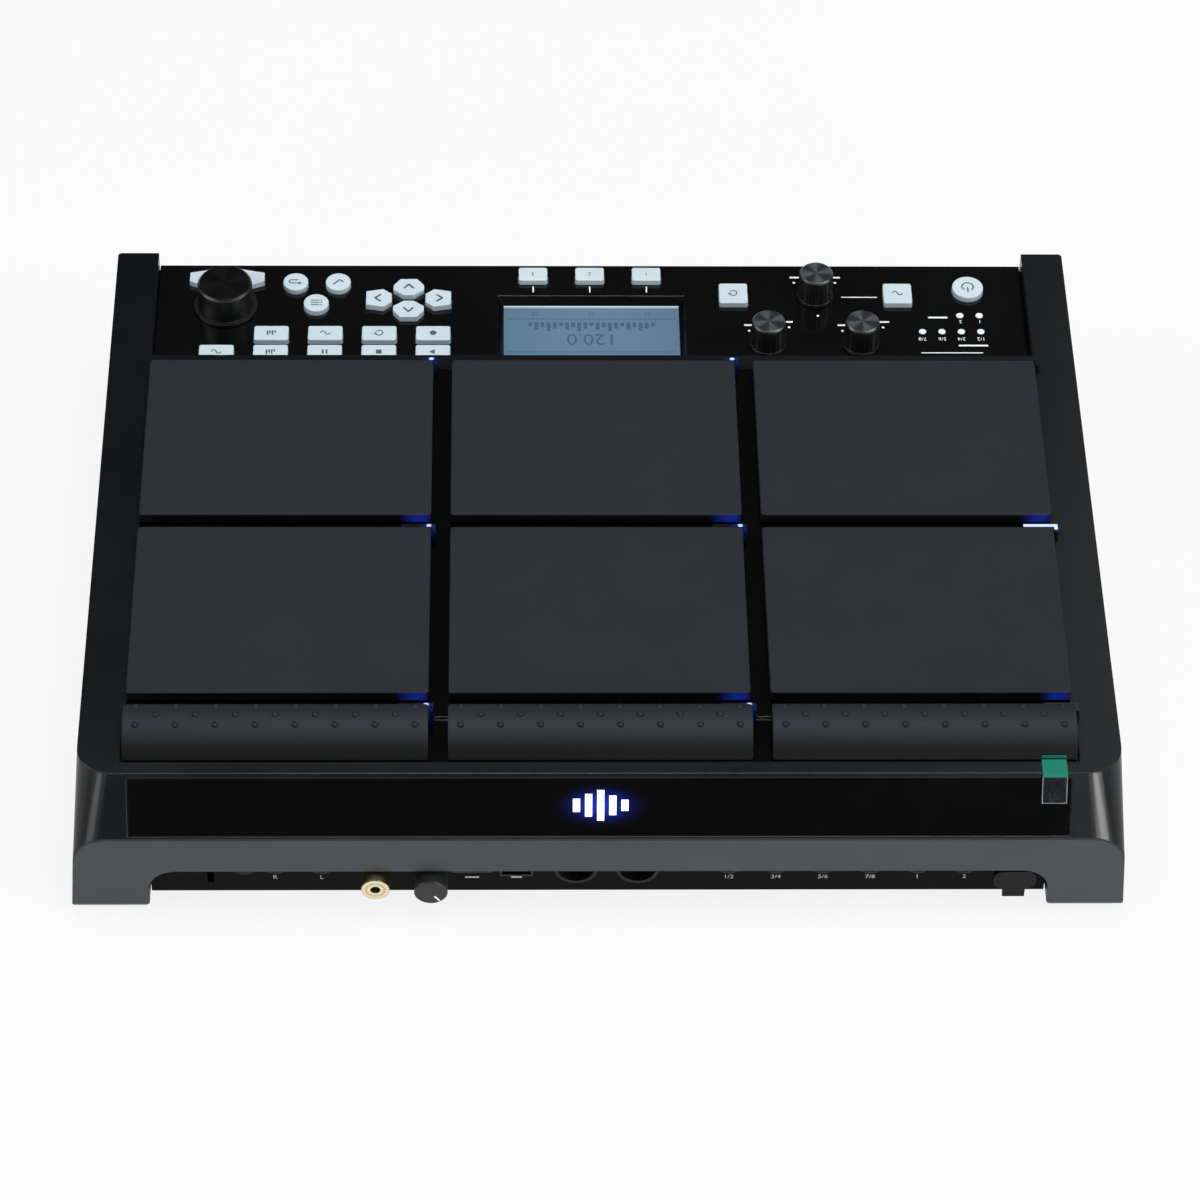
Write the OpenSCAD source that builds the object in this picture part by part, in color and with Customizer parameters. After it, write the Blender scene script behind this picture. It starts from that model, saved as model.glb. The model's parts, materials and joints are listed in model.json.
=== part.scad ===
// Sampling percussion pad: six flat rubber pads, three ridge bars, a recessed control panel
// on the player's side (-Y) and a jack bay under an arch in the rear wall (+Y).

/* [Case] */
// Width over the side rails, at the top
body_w = 372; // [320:1:420]
// Spread of each side wall, from the top to the foot
side_lean = 4.1; // [1:0.1:8]
// Depth of the case from the player's edge to the rear wall
body_d = 282.5; // [240:0.5:340]
// Height of the deck and the rails
body_h = 60.8; // [50:0.5:80]
// Depth of the sloping rear wall, seen from above
slope_run = 11.75; // [6:0.25:20]
// Radius of the rear corners of the top
corner_r = 13; // [4:0.5:25]
// Radius of the front corners
front_r = 1.5; // [1:0.1:5]
// Height of the seam between the two halves at the sides
seam_z = 26; // [20:0.5:32]
// Height of the rear plate of the lower half
plate_top = 38; // [34:0.5:44]
// Thickness of the outer walls
wall = 2.6; // [2:0.1:4]
// Thickness of the deck under the pads
deck_t = 3.4; // [3:0.1:5]
// Height of the case floor above the table
floor_z = 1; // [0.5:0.1:3]
// Thickness of the case floor
floor_t = 2.5; // [2:0.1:4]
// Radius of the lower edge of the case
foot_edge = 1.8; // [0.5:0.1:2.4]

/* [Pads] */
// Distance from the side of the case to the pads
pad_side = 16.25; // [12:0.05:30]
// Gap between pad columns
pad_gap_x = 7.1; // [3:0.1:12]
// Gap between the two rows of flat pads
pad_gap_y = 6.25; // [3:0.05:12]
// Depth of the deck between the control panel and the first row
pad_front = 7.7; // [5:0.1:20]
// Height of a flat pad above the deck
pad_rise = 5; // [3:0.1:9]
// Corner radius of a pad, seen from above
pad_r = 1.3; // [1:0.1:8]
// Radius of a pad's top edge
pad_edge = 0.5; // [0.3:0.1:1.5]
// Depth of one ridge bar
bar_d = 20; // [14:0.2:30]
// Gap between the flat pads and the ridge bars
bar_gap = 7.9; // [3:0.1:12]
// Depth of the border behind the ridge bars
bar_border = 6.05; // [3:0.05:15]
// Height of a ridge bar above the deck
bar_rise = 9; // [5:0.1:14]
// Radius of a bar's curved top
bar_crown = 15; // [14:0.5:40]
// Distance from a bar's front edge to its highest line
bar_peak = 6; // [3:0.1:10]
// Distance between the small domes along a bar
dome_pitch = 14.2; // [8:0.1:20]
// Clear height under the pads at rest
pad_float = 0.9; // [0.6:0.1:2]
// Radius of the small domes at their foot
dome_r = 1.2; // [0.8:0.1:2.5]

/* [Control panel] */
// Depth of the control panel
panel_d = 57.6; // [45:0.1:80]
// Width of the side rails that bound the control panel
rail_w = 16; // [10:0.5:30]
// Height of the panel below the deck
panel_drop = 6.6; // [3:0.1:12]
// Thickness of the panel
panel_t = 2.5; // [1.5:0.1:4]
// Height of the button tops above the panel
key_rise = 2.2; // [1:0.1:5]
// Clearance around a button
key_gap = 0.3; // [0.2:0.05:0.6]
// Width of the display window
lcd_w = 73.4; // [50:0.2:100]
// Radius of a small knob at its foot
knob_r = 7.1; // [5:0.1:12]
// Height of a small knob above the panel
knob_h = 13; // [8:0.5:20]
// Radius of the value dial
dial_r = 10.6; // [8:0.1:16]
// Height of the value dial above the panel
dial_h = 13; // [8:0.1:20]

/* [Rear jacks] */
// Depth of the jack bay behind the rear wall
bay_d = 7.6; // [4:0.1:15]
// Height of the arch above the table
arch_z = 20.8; // [15:0.1:30]
// Width of the case beside each end of the arch, at the foot
arch_end = 28.1; // [18:0.1:60]
// Radius of the arch's upper corners
arch_r = 10; // [4:0.5:12]
// Radius of the case's lower corners beside the arch
arch_foot_r = 3.2; // [1:0.1:5]
// Height of the jack axes above the table
jack_z = 14.6; // [11:0.1:20]
// Radius of a quarter inch jack's bore
jack_r = 3.25; // [3.2:0.01:3.4]
// Length that the volume knob stands out behind the rear wall
knob_out = 3.7; // [0:0.1:10]
// Radius of the volume knob
volume_r = 6.05; // [4:0.05:8]

/* [Hidden] */
$fn = 48;
sliver = 0.01;
// How far a cut runs past the face it opens, and how far joined forms reach into each other
over = 1;
lap = 0.5;

// Case
base_w = body_w + 2 * side_lean;
seam_w = body_w + 2 * side_lean * (body_h - seam_z) / (body_h - floor_z);
top_d = body_d - slope_run;
front_y = -(body_d + knob_out) / 2;
rear_y = front_y + body_d;
top_y = front_y + top_d;
recess_w = body_w - 2 * rail_w;
panel_z = body_h - panel_drop;
seat_z = panel_z - panel_t;
shelf_t = 3;
shelf_z = seat_z - shelf_t;
shelf_in = 5;
shelf_rear = 1.3;
ridge_wall = 3;
plate_t = 3;
lip = 0.8;
seam_gap = 0.2;
slope_rise = body_h - plate_top - lip;
slope_a = atan2(slope_run, slope_rise);
slope_l = sqrt(slope_run * slope_run + slope_rise * slope_rise);
strip_side = 2.2;
strip_w = recess_w - 2 * strip_side;
strip_in = 1.9;
strip_border = 0.9;
strip_l = slope_l - strip_in - strip_border;
strip_t = 1.3;
strip_cut = 1.6;
strip_fit = 0.2;
skin = 3;
cavity_w = body_w - 2 * skin;
cavity_r = 26;
floor_top = floor_z + floor_t;

// Posts, feet and screws of the case
post_r = 4;
post_side = 5.5;
post_x = cavity_w / 2 - post_side;
post_f = 20;
post_mid = 130;
post_rear = 32.5;
post_fs = [post_f, post_mid, body_d - post_rear];
pilot_r = 1.6;
pilot_l = 12;
screw_r = 1.5;
screw_l = 11;
screw_head_r = 2.9;
screw_head_h = 1;
head_gap = 0.2;
foot_r = 9;
foot_t = 2.2;
foot_gap = 0.1;
foot_side = 25.1;
foot_x = base_w / 2 - foot_side;
foot_f = 16;
foot_rear = 24.5;
foot_fs = [foot_f, body_d - foot_rear];

// Jack bay and main board
arch_w = base_w - 2 * arch_end;
arch_foot_points = concat(
    [[-lap, -over], [arch_foot_r, -over]],
    [for (t = [0 : 15 : 90]) [arch_foot_r * (1 - sin(t)), arch_foot_r * (1 - cos(t))]],
    [[-lap, arch_foot_r]]
);
bay_y = rear_y - bay_d;
jack_plate_t = 2;
jack_in_y = bay_y - jack_plate_t;
jack_fit = 0.1;
bay_roof_gap = 1.3;
bay_roof_z = arch_z + bay_roof_gap;
bay_roof_t = 2;
bay_end = 2.4;
board_z = 6;
board_t = 1.6;
board_top = board_z + board_t;
board_side = 5;
board_w = arch_w - 2 * board_side;
board_d = 80;
board_rear = 6;
board_y = jack_in_y - board_rear;
board_hole_r = 1.6;
board_pilot_r = 1.3;
board_screw_r = 1.25;
board_head_r = 2.4;
board_head_h = 1.4;
standoff_r = 3;
standoff_side = 10;
standoff_x = board_w / 2 - standoff_side;
standoff_in = 8;

// Keys, their switches and their board
key_board_drop = 9.9;
key_board_z = seat_z - key_board_drop;
key_board_top = key_board_z + board_t;
key_board_side = 0.5;
key_board_f = 3.4;
key_board_rear = 1.6;
tact_w = 6;
tact_h = 3;
tact_nub_r = 1.7;
tact_nub_h = 0.5;
tact_top = key_board_top + tact_h + tact_nub_h;
key_travel_gap = 0.9;
key_top = panel_z + key_rise;
key_foot = tact_top + key_travel_gap;
flange_t = 1.6;
flange_gap = 0.3;
flange_z1 = seat_z - flange_gap;
flange_z0 = flange_z1 - flange_t;
flange_w = 0.8;
flange_slim = 0.5;
stem_r = 2;
key_lap = 0.2;
key_r = 1;
key_edge = 0.35;
panel_fit = 0.3;
hang_r = 2.5;
hang_hole_r = 1.3;
hang_pilot_r = 1.1;
hang_pilot_l = 5;
hang_screw_r = 1.05;
hang_screw_l = 5.8;
hang_head_r = 2;
hang_head_h = 1.2;

// Pads, bars and what guides, senses and lights them
pad_w = (body_w - 2 * pad_side - 2 * pad_gap_x) / 3;
pad_x = pad_w + pad_gap_x;
pad_f = panel_d + pad_front;
bar_f = top_d - bar_border - bar_d;
pad_d = (bar_f - bar_gap - pad_gap_y - pad_f) / 2;
row_f = [pad_f, pad_f + pad_d + pad_gap_y];
bar_pin_back = 1;
bar_pin_f = bar_f + bar_d / 2 - bar_pin_back;
dome_rows = 3;
dome_side = 3;
dome_count = 1 + floor((pad_w - 2 * dome_side) / dome_pitch);
dome_f0 = 1.8;
dome_step = 4.2;
dome_sink = 1;
dome_h = 0.5;
dome_foot = 0.1;
dome_turn = 25;
dome_last = 75;
dome_points = concat([[0, 0], [dome_r, 0]],
    [for (a = [0 : dome_turn : dome_last]) [dome_r * cos(a), dome_sink + dome_foot + dome_h * sin(a)]],
    [[0, dome_sink + dome_foot + dome_h * sin(dome_last)]]);
well_drop = 1;
well_side = 0.7;
well_w = 3 * pad_w + 2 * pad_gap_x + 2 * well_side;
well_in = 0.5;
pin_r = 3;
pin_l = 3;
bush_bore_r = 3.08;
bush_r = 4.45;
bush_hole_r = 4.5;
bush_flange_r = 6;
bush_flange_t = 1.2;
bush_sink = 0.2;
pin_foot = body_h - deck_t - pin_l;
pin_in_x = 14;
pin_in_y = 13;
piezo_r = 14;
piezo_t = 1.8;
bar_piezo_r = 6.5;
bar_piezo_t = 1.3;
piezo_gap = 0.2;
pipe_t = 1.3;
pipe_gap = 0.4;
pipe_l = 11;
pipe_leg = 2.2;
pipe_sink = 1.6;
pipe_drop = 0.5;
pipe_fit = 0.05;
bar_pipe_rise = 6.4;

// Knobs, dial and the controls that carry them
shaft_r = 3;
shaft_bore_r = 3.06;
shaft_gap = 1.6;
bush_nose_r = 3.5;
nose_hole_r = 3.6;
nose_sink = 0.3;
nose_rise = 0.3;
pot_w = 9.6;
dial_pot_w = 12;
pot_h = 6.4;
pot_floor = 1;
volume_pot_w = 10;
volume_pot_l = 9;
volume_bore_l = 9;
knob_lift = 0.4;
knob_skirt_h = 1.4;
knob_step = 0.2;
knob_taper = 0.5;
knob_bevel = 0.7;
knob_flutes = 18;
flute_r = 0.8;
flute_out = 0.25;
dial_skirt_r = 12.3;
dial_skirt_h = 1.2;
dial_taper = 0.2;
dial_bevel = 0.9;
volume_bevel = 0.5;
volume_gap = 0.8;
volume_shaft_l = 7.5;

// Places on the panel: across from the middle of a pad column, and up from the player's edge
knob_in = 29.03;
knob_front_in = 27.53;
knob_dx = 18.15;
knob_f = 17.7;
knob_rear_f = 45;
knob_pos = [
    [knob_in + knob_dx - pad_x, knob_rear_f],
    [knob_front_in - pad_x, knob_f],
    [knob_in - knob_dx - pad_x, knob_rear_f]];
dial_in = 27.47;
dial_f = 23.7;
dial_pos = [pad_x + dial_in, dial_f];
led_r = 1.4;
led_fit = 0.05;
led_rise = 0.25;
led_out = 36.47;
led_pitch = 7.6;
led_f = 28.4;
led_rear_f = 37.5;
led_pos = concat(
    [for (i = [0, 1]) [-pad_x - led_out + i * led_pitch, led_f]],
    [for (i = [0 : 3]) [-pad_x - led_out + i * led_pitch, led_rear_f]]);
lcd_rear = 5.6;
lcd_d = 34.8;
lcd_f1 = panel_d - lcd_rear;
lcd_f0 = lcd_f1 - lcd_d;
lcd_side = 2.4;
lcd_far = 3.2;
lcd_t = 4;
lcd_lap = 1.2;
hang_out = 44.47;
hang_mid = 1;
hang_lcd = 7.3;
hang_key = 23;
hang_rear_f = 50;
hang_f = 7;
hang_key_f = 32;
hang_pos = [
    [-pad_x - hang_out, hang_rear_f], [-pad_x - hang_mid, hang_f], [-lcd_w / 2 - hang_lcd, hang_rear_f],
    [lcd_w / 2 + hang_lcd, hang_f], [pad_x - hang_key, hang_key_f], [pad_x + hang_out, hang_rear_f]];
round_r = 4.9;
round_in = 7.83;
round_dx = 8.35;
round_f = 11.5;
round_rear_f = 23.5;
round_pos = [
    [pad_x - round_in - round_dx, round_f],
    [pad_x - round_in + round_dx, round_f],
    [pad_x - round_in, round_rear_f]];
cursor_in = 43.93;
cursor_x = pad_x - cursor_in;
cursor_f = 20.8;
cursor_dx = 11.6;
cursor_df = 6.2;
row_key_w = 13.4;
row_key_d = 7.9;
row_key_pitch = 20.95;
row_key_in = 53.73;
row_key_x = pad_x - row_key_in;
row_key_rear = 6.4;
row_pitch = 10.6;
row2_f = panel_d - row_key_rear;
row1_f = row2_f - row_pitch;
row1_count = 4;
row2_count = 5;
f_key_w = 11.3;
f_key_d = 7.4;
f_key_f = 6.9;
f_key_flange = 0.25;
f_key_mid = 0.5;
f_key_pitch = 22.3;
f_key_x = [for (i = [-1, 0, 1]) f_key_mid + i * f_key_pitch];
square_w = 11.2;
square_f = 17.8;
square_out = 4.87;
square_in = 59.73;
square_pos = [[-pad_x - square_out, square_f], [square_in - pad_x, square_f]];
power_r = 6.1;
power_out = 32.77;
power_f = 14.2;
power_pos = [-pad_x - power_out, power_f];

// Half sizes of the cursor keys and of the keys beside the dial
lobe_tip = 1.9;
lobe_half = 6;
lobe_foot = 3.2;
lobe_l = 4.6;
lobe_near = 1.6;
lobe_far = 1;
side_l = 5;
side_tip = 2.3;
side_bend = 1.6;
side_half = 5;
side_foot = 3.7;
wing_gap = 0.9;
wing_ring = 1;
wing_out = 19.2;
wing_bend = 5.5;
wing_x = 14.6;
wing_far = 17.2;
wing_near = 12.4;
wing_tip = 8;
wing_in = 9.4;
wing_stem_x = 7.4;
wing_stem_f = 15.4;

// Rear row, from the middle of the case
volume_x = 60.6;
volume_z = 12.9;
volume_pos = [volume_x, volume_z];
out_x = 117;
out_pitch = 16.8;
adapter_x = 80.5;
trig_x = 47;
trig_end = 29.5;
trig_count = 6;
trig_pitch = (arch_w / 2 - trig_end - trig_x) / (trig_count - 1);
phone_x = concat([out_x, out_x - out_pitch, adapter_x],
    [for (i = [0 : trig_count - 1]) -trig_x - i * trig_pitch]);
adapter_r = 5.1;
adapter_out = 3.5;
adapter_gap = 0.2;
adapter_bore_r = 1.8;
adapter_bore_l = 12;
plug_r = 3.15;
plug_l = 20;
jack_w = 11.5;
jack_l = 24;
jack_bore_l = 23;
jack_nose_r = 4.5;
jack_hole_r = 4.6;
din_mid = 2.85;
din_pitch = 22.3;
din_x = [din_pitch / 2 - din_mid, -din_pitch / 2 - din_mid];
din_z = 13.2;
din_r = 7.8;
din_in_r = 6.6;
din_fit = 0.05;
din_rise = 0.4;
din_wall = 1;
din_deep = 4.6;
din_body_w = 18;
din_body_l = 17;
din_pin_r = 0.8;
din_pin_l = 3.4;
din_pin_ring = 4.4;
usb_a_x = 45.9;
usb_a_w = 14.4;
usb_a_h = 7;
usb_b_x = 29.8;
usb_b_w = 12;
usb_b_h = 10.8;
usb_shell = 0.8;
usb_l = 14;
usb_rise = 0.3;
usb_back = 2;
usb_foot = 3;
tongue_in = 1;
tongue_a_w = 10.8;
tongue_a_t = 1.6;
tongue_a_z = 0.5;
tongue_b_w = 5.6;
tongue_b_t = 3.2;
dc_x = 128;
dc_r = 2.75;
dc_w = 10;
dc_l = 13;
dc_nose_r = 4.5;
dc_rise = 0.2;
dc_bore_l = 10;
dc_pin_r = 1;
hook_end = 12;
hook_x = hook_end - arch_w / 2;
hook_w = 15.4;
hook_h = 9.2;
hook_r = 3.6;
hook_z = 14;
hook_t = 2.4;
hook_in = 1.2;
hook_stem_w = 8;
hook_stem_z = 10;
hook_stem_h = 6;
hook_tail_l = 5.2;
lock_x = 140.3;
lock_w = 2.4;
lock_z = 5.6;
lock_h = 7;

// Distance from the player's edge to the Y coordinate
function fy(f) = front_y + f;
// Centre of a pad column, -1 left, 0 middle, 1 right
function col_x(c) = c * pad_x;
// Position of a key in the two back rows, counted from the inner end
function row_x(i) = row_key_x + i * row_key_pitch;
// Place of a row of domes across a bar, its last dome and the height of the domes' feet
function dome_f(n) = dome_f0 + dome_step * n;
function dome_last_in(n) = dome_count - 1 - n % 2;
function dome_x(n, i) = (i - dome_last_in(n) / 2) * dome_pitch;
function dome_z(n) = body_h + bar_rise - crown_drop(dome_f(n)) - dome_sink;
// Fall of a bar's top at a distance from its front edge
function crown_drop(f) = bar_crown - sqrt(bar_crown * bar_crown - pow(f - bar_peak, 2));
// Corners of the up and down keys, g is the growth
function lobe_points(g) = [
    [-lobe_tip - 0.4 * g, -lobe_l - g], [lobe_tip + 0.4 * g, -lobe_l - g],
    [lobe_half + g, -lobe_near - 0.5 * g], [lobe_half + g, lobe_far + 0.5 * g],
    [lobe_foot + 0.4 * g, lobe_l + g], [-lobe_foot - 0.4 * g, lobe_l + g],
    [-lobe_half - g, lobe_far + 0.5 * g], [-lobe_half - g, -lobe_near - 0.5 * g]];
// Corners of the left and right keys, g is the growth
function side_points(g) = [
    [-side_l - g, -side_tip - 0.5 * g], [-side_bend - 0.3 * g, -side_half - g],
    [side_l + g, -side_foot - 0.8 * g], [side_l + g, side_foot + 0.8 * g],
    [-side_bend - 0.3 * g, side_half + g], [-side_l - g, side_tip + 0.5 * g]];
// Corners of a key beside the dial, g is the growth
function wing_points(g) = [
    [wing_gap - g, -wing_out - g], [wing_bend, -wing_out - g],
    [wing_x + g, -wing_far - 0.9 * g], [wing_x + g, -wing_near + 0.6 * g],
    [wing_tip, -wing_in], [wing_gap - g, -wing_in]];

module rounded_rect(w, d, r) {
    square([w - 2 * r, d], center = true);
    square([w, d - 2 * r], center = true);
    for (sx = [-1, 1], sy = [-1, 1])
        translate([sx * (w / 2 - r), sy * (d / 2 - r)])
            circle(r = r);
}

// Slab with rounded upright corners of radius r and a rounded top edge of radius e
module soft_slab(w, d, h, r, e) {
    linear_extrude(h - e)
        rounded_rect(w, d, r);
    linear_extrude(h)
        rounded_rect(w - 2 * e, d - 2 * e, r - e);
    for (s = [-1, 1]) {
        translate([0, s * (d / 2 - e), h - e])
            rotate([0, 90, 0])
                cylinder(r = e, h = w - 2 * r, center = true);
        translate([s * (w / 2 - e), 0, h - e])
            rotate([90, 0, 0])
                cylinder(r = e, h = d - 2 * r, center = true);
    }
    for (sx = [-1, 1], sy = [-1, 1])
        translate([sx * (w / 2 - r), sy * (d / 2 - r), h - e])
            rotate_extrude()
                translate([r - e, 0])
                    circle(r = e);
}

// Disc with a rounded top edge
module soft_disc(r, h, e) {
    cylinder(r = r, h = h - e);
    cylinder(r = r - e, h = h);
    translate([0, 0, h - e])
        rotate_extrude()
            translate([r - e, 0])
                circle(r = e);
}

// Y-Z outline drawn along X
module along_x(w) {
    rotate([90, 0, 90])
        linear_extrude(w, center = true)
            children();
}

// X-Z outline drawn from y0 towards the player
module along_y(y0, l) {
    translate([0, y0, 0])
        rotate([90, 0, 0])
            linear_extrude(l)
                children();
}

// Round bar along Y, starting at y0 and running towards the player
module rod_y(x, y0, z, r, l) {
    translate([x, y0, z])
        rotate([90, 0, 0])
            cylinder(r = r, h = l);
}

module box(x0, x1, y0, y1, z0, z1) {
    translate([x0, y0, z0])
        cube([x1 - x0, y1 - y0, z1 - z0]);
}

// Flat top seen from above
module top_outline() {
    r = corner_r;
    translate([-body_w / 2, front_y + front_r])
        square([body_w, top_d - r - front_r]);
    translate([-body_w / 2 + r, front_y])
        square([body_w - 2 * r, top_d]);
    for (s = [-1, 1]) {
        translate([s * (body_w / 2 - r), top_y - r])
            circle(r = r);
        translate([s * (body_w / 2 - front_r), front_y + front_r])
            circle(r = front_r);
    }
}

// Walls seen from above, w wide and set in by i
module base_outline(w, y1, i) {
    half = w / 2 - i;
    y0 = front_y + i;
    translate([-half, y0 + front_r])
        square([2 * half, y1 - i - y0 - front_r]);
    translate([-half + front_r, y0])
        square([2 * (half - front_r), y1 - i - y0]);
    for (s = [-1, 1])
        translate([s * (half - front_r), y0 + front_r])
            circle(r = front_r);
}

// Lower half of the case without its room, with a soft lower edge
module base_hull() {
    soft = foot_edge * (1 - sin(45));
    hull() {
        translate([0, 0, seam_z - sliver])
            linear_extrude(sliver)
                base_outline(seam_w, rear_y, 0);
        translate([0, 0, floor_z + foot_edge])
            linear_extrude(sliver)
                base_outline(base_w, rear_y, 0);
        translate([0, 0, floor_z + soft])
            linear_extrude(sliver)
                base_outline(base_w, rear_y, soft);
        translate([0, 0, floor_z])
            linear_extrude(sliver)
                base_outline(base_w, rear_y, foot_edge);
    }
}

// Rear wall with rounded shoulders, in X and Z
module rear_outline(z0, z1) {
    r = corner_r;
    intersection() {
        translate([-seam_w / 2, z0])
            square([seam_w, z1 - z0]);
        union() {
            translate([-seam_w / 2, z0 - r])
                square([seam_w, z1 - z0]);
            translate([-seam_w / 2 + r, z0])
                square([seam_w - 2 * r, z1 - z0]);
            for (s = [-1, 1])
                translate([s * (seam_w / 2 - r), z1 - r])
                    circle(r = r);
        }
    }
}

// Opening under the arch, in X and Z
module arch_outline() {
    r = arch_r;
    translate([-arch_w / 2, floor_z - over])
        square([arch_w, arch_z - r - floor_z + over]);
    translate([-arch_w / 2 + r, floor_z - over])
        square([arch_w - 2 * r, arch_z - floor_z + over]);
    for (s = [-1, 1]) {
        translate([s * (arch_w / 2 - r), arch_z - r])
            circle(r = r);
        translate([s * arch_w / 2, floor_z])
            polygon([for (p = arch_foot_points) [s * p[0], p[1]]]);
    }
}

module case_hull() {
    hull() {
        translate([0, 0, body_h - sliver])
            linear_extrude(sliver)
                top_outline();
        translate([0, 0, seam_z])
            linear_extrude(sliver)
                base_outline(seam_w, rear_y - sliver, 0);
        along_y(rear_y, sliver)
            rear_outline(seam_z, plate_top + lip);
    }
}

// Room inside the upper half, under the deck
module deck_cavity() {
    wall_y = skin / cos(slope_a);
    under = body_h - deck_t;
    intersection() {
        along_x(cavity_w)
            polygon([
                [fy(panel_d + ridge_wall), seam_z - over],
                [fy(panel_d + ridge_wall), under],
                [top_y + deck_t * tan(slope_a) - wall_y, under],
                [rear_y - wall_y, plate_top + lip],
                [rear_y - wall_y, seam_z - over]]);
        translate([0, 0, seam_z - over])
            linear_extrude(body_h)
                cavity_outline();
    }
}

module cavity_outline() {
    y1 = rear_y - skin;
    translate([-cavity_w / 2, front_y])
        square([cavity_w, y1 - cavity_r - front_y]);
    translate([-cavity_w / 2 + cavity_r, front_y])
        square([cavity_w - 2 * cavity_r, y1 - front_y]);
    for (s = [-1, 1])
        translate([s * (cavity_w / 2 - cavity_r), y1 - cavity_r])
            circle(r = cavity_r);
}

// Places children on the slope, X along it, Y down it and Z out of it
module on_slope() {
    translate([0, top_y, body_h])
        rotate([slope_a - 90, 0, 0])
            children();
}

// Positions of the guide pins of the flat pads and of the bars
module at_pad_pins(c, r) {
    for (sx = [-1, 1], sy = [-1, 1])
        translate([
            col_x(c) + sx * (pad_w / 2 - pin_in_x),
            fy(row_f[r] + pad_d / 2 + sy * (pad_d / 2 - pin_in_y)),
            0])
            children();
}

module at_bar_pins(c) {
    for (sx = [-1, 1])
        translate([col_x(c) + sx * (pad_w / 2 - pin_in_x), fy(bar_pin_f), 0])
            children();
}

module at_all_pins() {
    for (c = [-1, 0, 1]) {
        for (r = [0, 1])
            at_pad_pins(c, r)
                children();
        at_bar_pins(c)
            children();
    }
}

// Corner of each pad where its light pipe stands, on the player's side
module at_pipes(lift) {
    for (c = [-1, 0, 1]) {
        for (r = [0, 1])
            translate([col_x(c) - pad_w / 2, fy(row_f[r]), 0])
                pipe_shape(lift, pad_rise - pipe_drop);
        translate([col_x(c) - pad_w / 2, fy(bar_f), 0])
            pipe_shape(lift, bar_pipe_rise);
    }
}

// Angle-shaped light pipe round the corner of a pad
module pipe_shape(lift, rise) {
    near = pipe_gap + pipe_t;
    z0 = body_h - pipe_sink - well_drop;
    box(-near - lift, pipe_l + lift, -near - lift, -pipe_gap + lift, z0, body_h + rise);
    box(-near - lift, -pipe_gap + lift, -near - lift, pipe_leg + lift, z0, body_h + rise);
}

// Places of the standoffs under the main board
module at_standoffs(z) {
    for (sx = [-1, 1], y = [board_y - standoff_in, board_y - board_d + standoff_in])
        translate([sx * standoff_x, y, z])
            children();
}

module top_case() {
    color([0.1, 0.1, 0.11])
        difference() {
            union() {
                difference() {
                    case_hull();
                    deck_cavity();
                    box(-cavity_w / 2, cavity_w / 2, fy(wall), fy(panel_d + ridge_wall + over),
                        seam_z - over, shelf_z);
                }
                for (s = [-1, 1], f = post_fs)
                    translate([s * post_x, fy(f), floor_top])
                        cylinder(r = post_r, h = shelf_z + over - floor_top);
                for (s = [-1, 1], f = [post_fs[1], post_fs[2]])
                    translate([s * post_x, fy(f), shelf_z])
                        cylinder(r = post_r, h = body_h - deck_t + over - shelf_z);
            }
            for (s = [-1, 1], f = post_fs)
                translate([s * post_x, fy(f), floor_top - over])
                    cylinder(r = pilot_r, h = pilot_l + over);
            box(-recess_w / 2, recess_w / 2, fy(-over), fy(panel_d), seat_z, body_h + over);
            box(-recess_w / 2 + shelf_in, recess_w / 2 - shelf_in, fy(wall), fy(panel_d - shelf_rear),
                shelf_z - over, seat_z + over);
            along_y(rear_y + over, plate_t + over + seam_gap)
                rear_outline(seam_z - over, plate_top + seam_gap);
            on_slope()
                translate([-strip_w / 2, strip_in, -strip_cut])
                    cube([strip_w, strip_l, 2 * strip_cut]);
            box(-well_w / 2, well_w / 2, fy(bar_f - well_in), fy(bar_f + bar_d + well_in),
                body_h - well_drop, body_h + over);
            at_all_pins()
                translate([0, 0, body_h - 2 * deck_t])
                    cylinder(r = bush_hole_r, h = 3 * deck_t);
            for (c = [-1, 0, 1]) {
                for (r = [0, 1])
                    translate([col_x(c), fy(row_f[r] + pad_d / 2), body_h - piezo_t])
                        cylinder(r = piezo_r + piezo_gap, h = piezo_t + over);
                translate([col_x(c), fy(bar_pin_f), body_h - well_drop - bar_piezo_t])
                    cylinder(r = bar_piezo_r + piezo_gap, h = bar_piezo_t + well_drop + over);
            }
            at_pipes(pipe_fit);
        }
}

module base_pan() {
    color([0.28, 0.29, 0.3])
        difference() {
            union() {
                difference() {
                    base_hull();
                    box(wall - seam_w / 2, seam_w / 2 - wall, fy(wall), rear_y - plate_t,
                        floor_top, seam_z + over);
                }
                along_y(rear_y, plate_t)
                    rear_outline(seam_z - over, plate_top);
                box(-arch_w / 2 - bay_end, arch_w / 2 + bay_end, jack_in_y, rear_y - over,
                    floor_z, bay_roof_z + bay_roof_t);
                at_standoffs(floor_top - lap)
                    cylinder(r = standoff_r, h = board_z - floor_top + lap);
            }
            box(-arch_w / 2, arch_w / 2, jack_in_y - over, rear_y - plate_t, floor_z - over, bay_roof_z);
            along_y(rear_y + over, bay_d + jack_plate_t + 2 * over)
                arch_outline();
            for (s = [-1, 1], f = post_fs)
                translate([s * post_x, fy(f), floor_z - over]) {
                    cylinder(r = pilot_r, h = floor_t + 2 * over);
                    cylinder(r = screw_head_r + head_gap, h = screw_head_h + over);
                }
            for (s = [-1, 1], f = foot_fs)
                translate([s * foot_x, fy(f), floor_z - over])
                    cylinder(r = foot_r + foot_gap, h = foot_t - floor_z + over);
            at_standoffs(floor_top)
                cylinder(r = board_pilot_r, h = board_z);
        }
}

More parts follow.
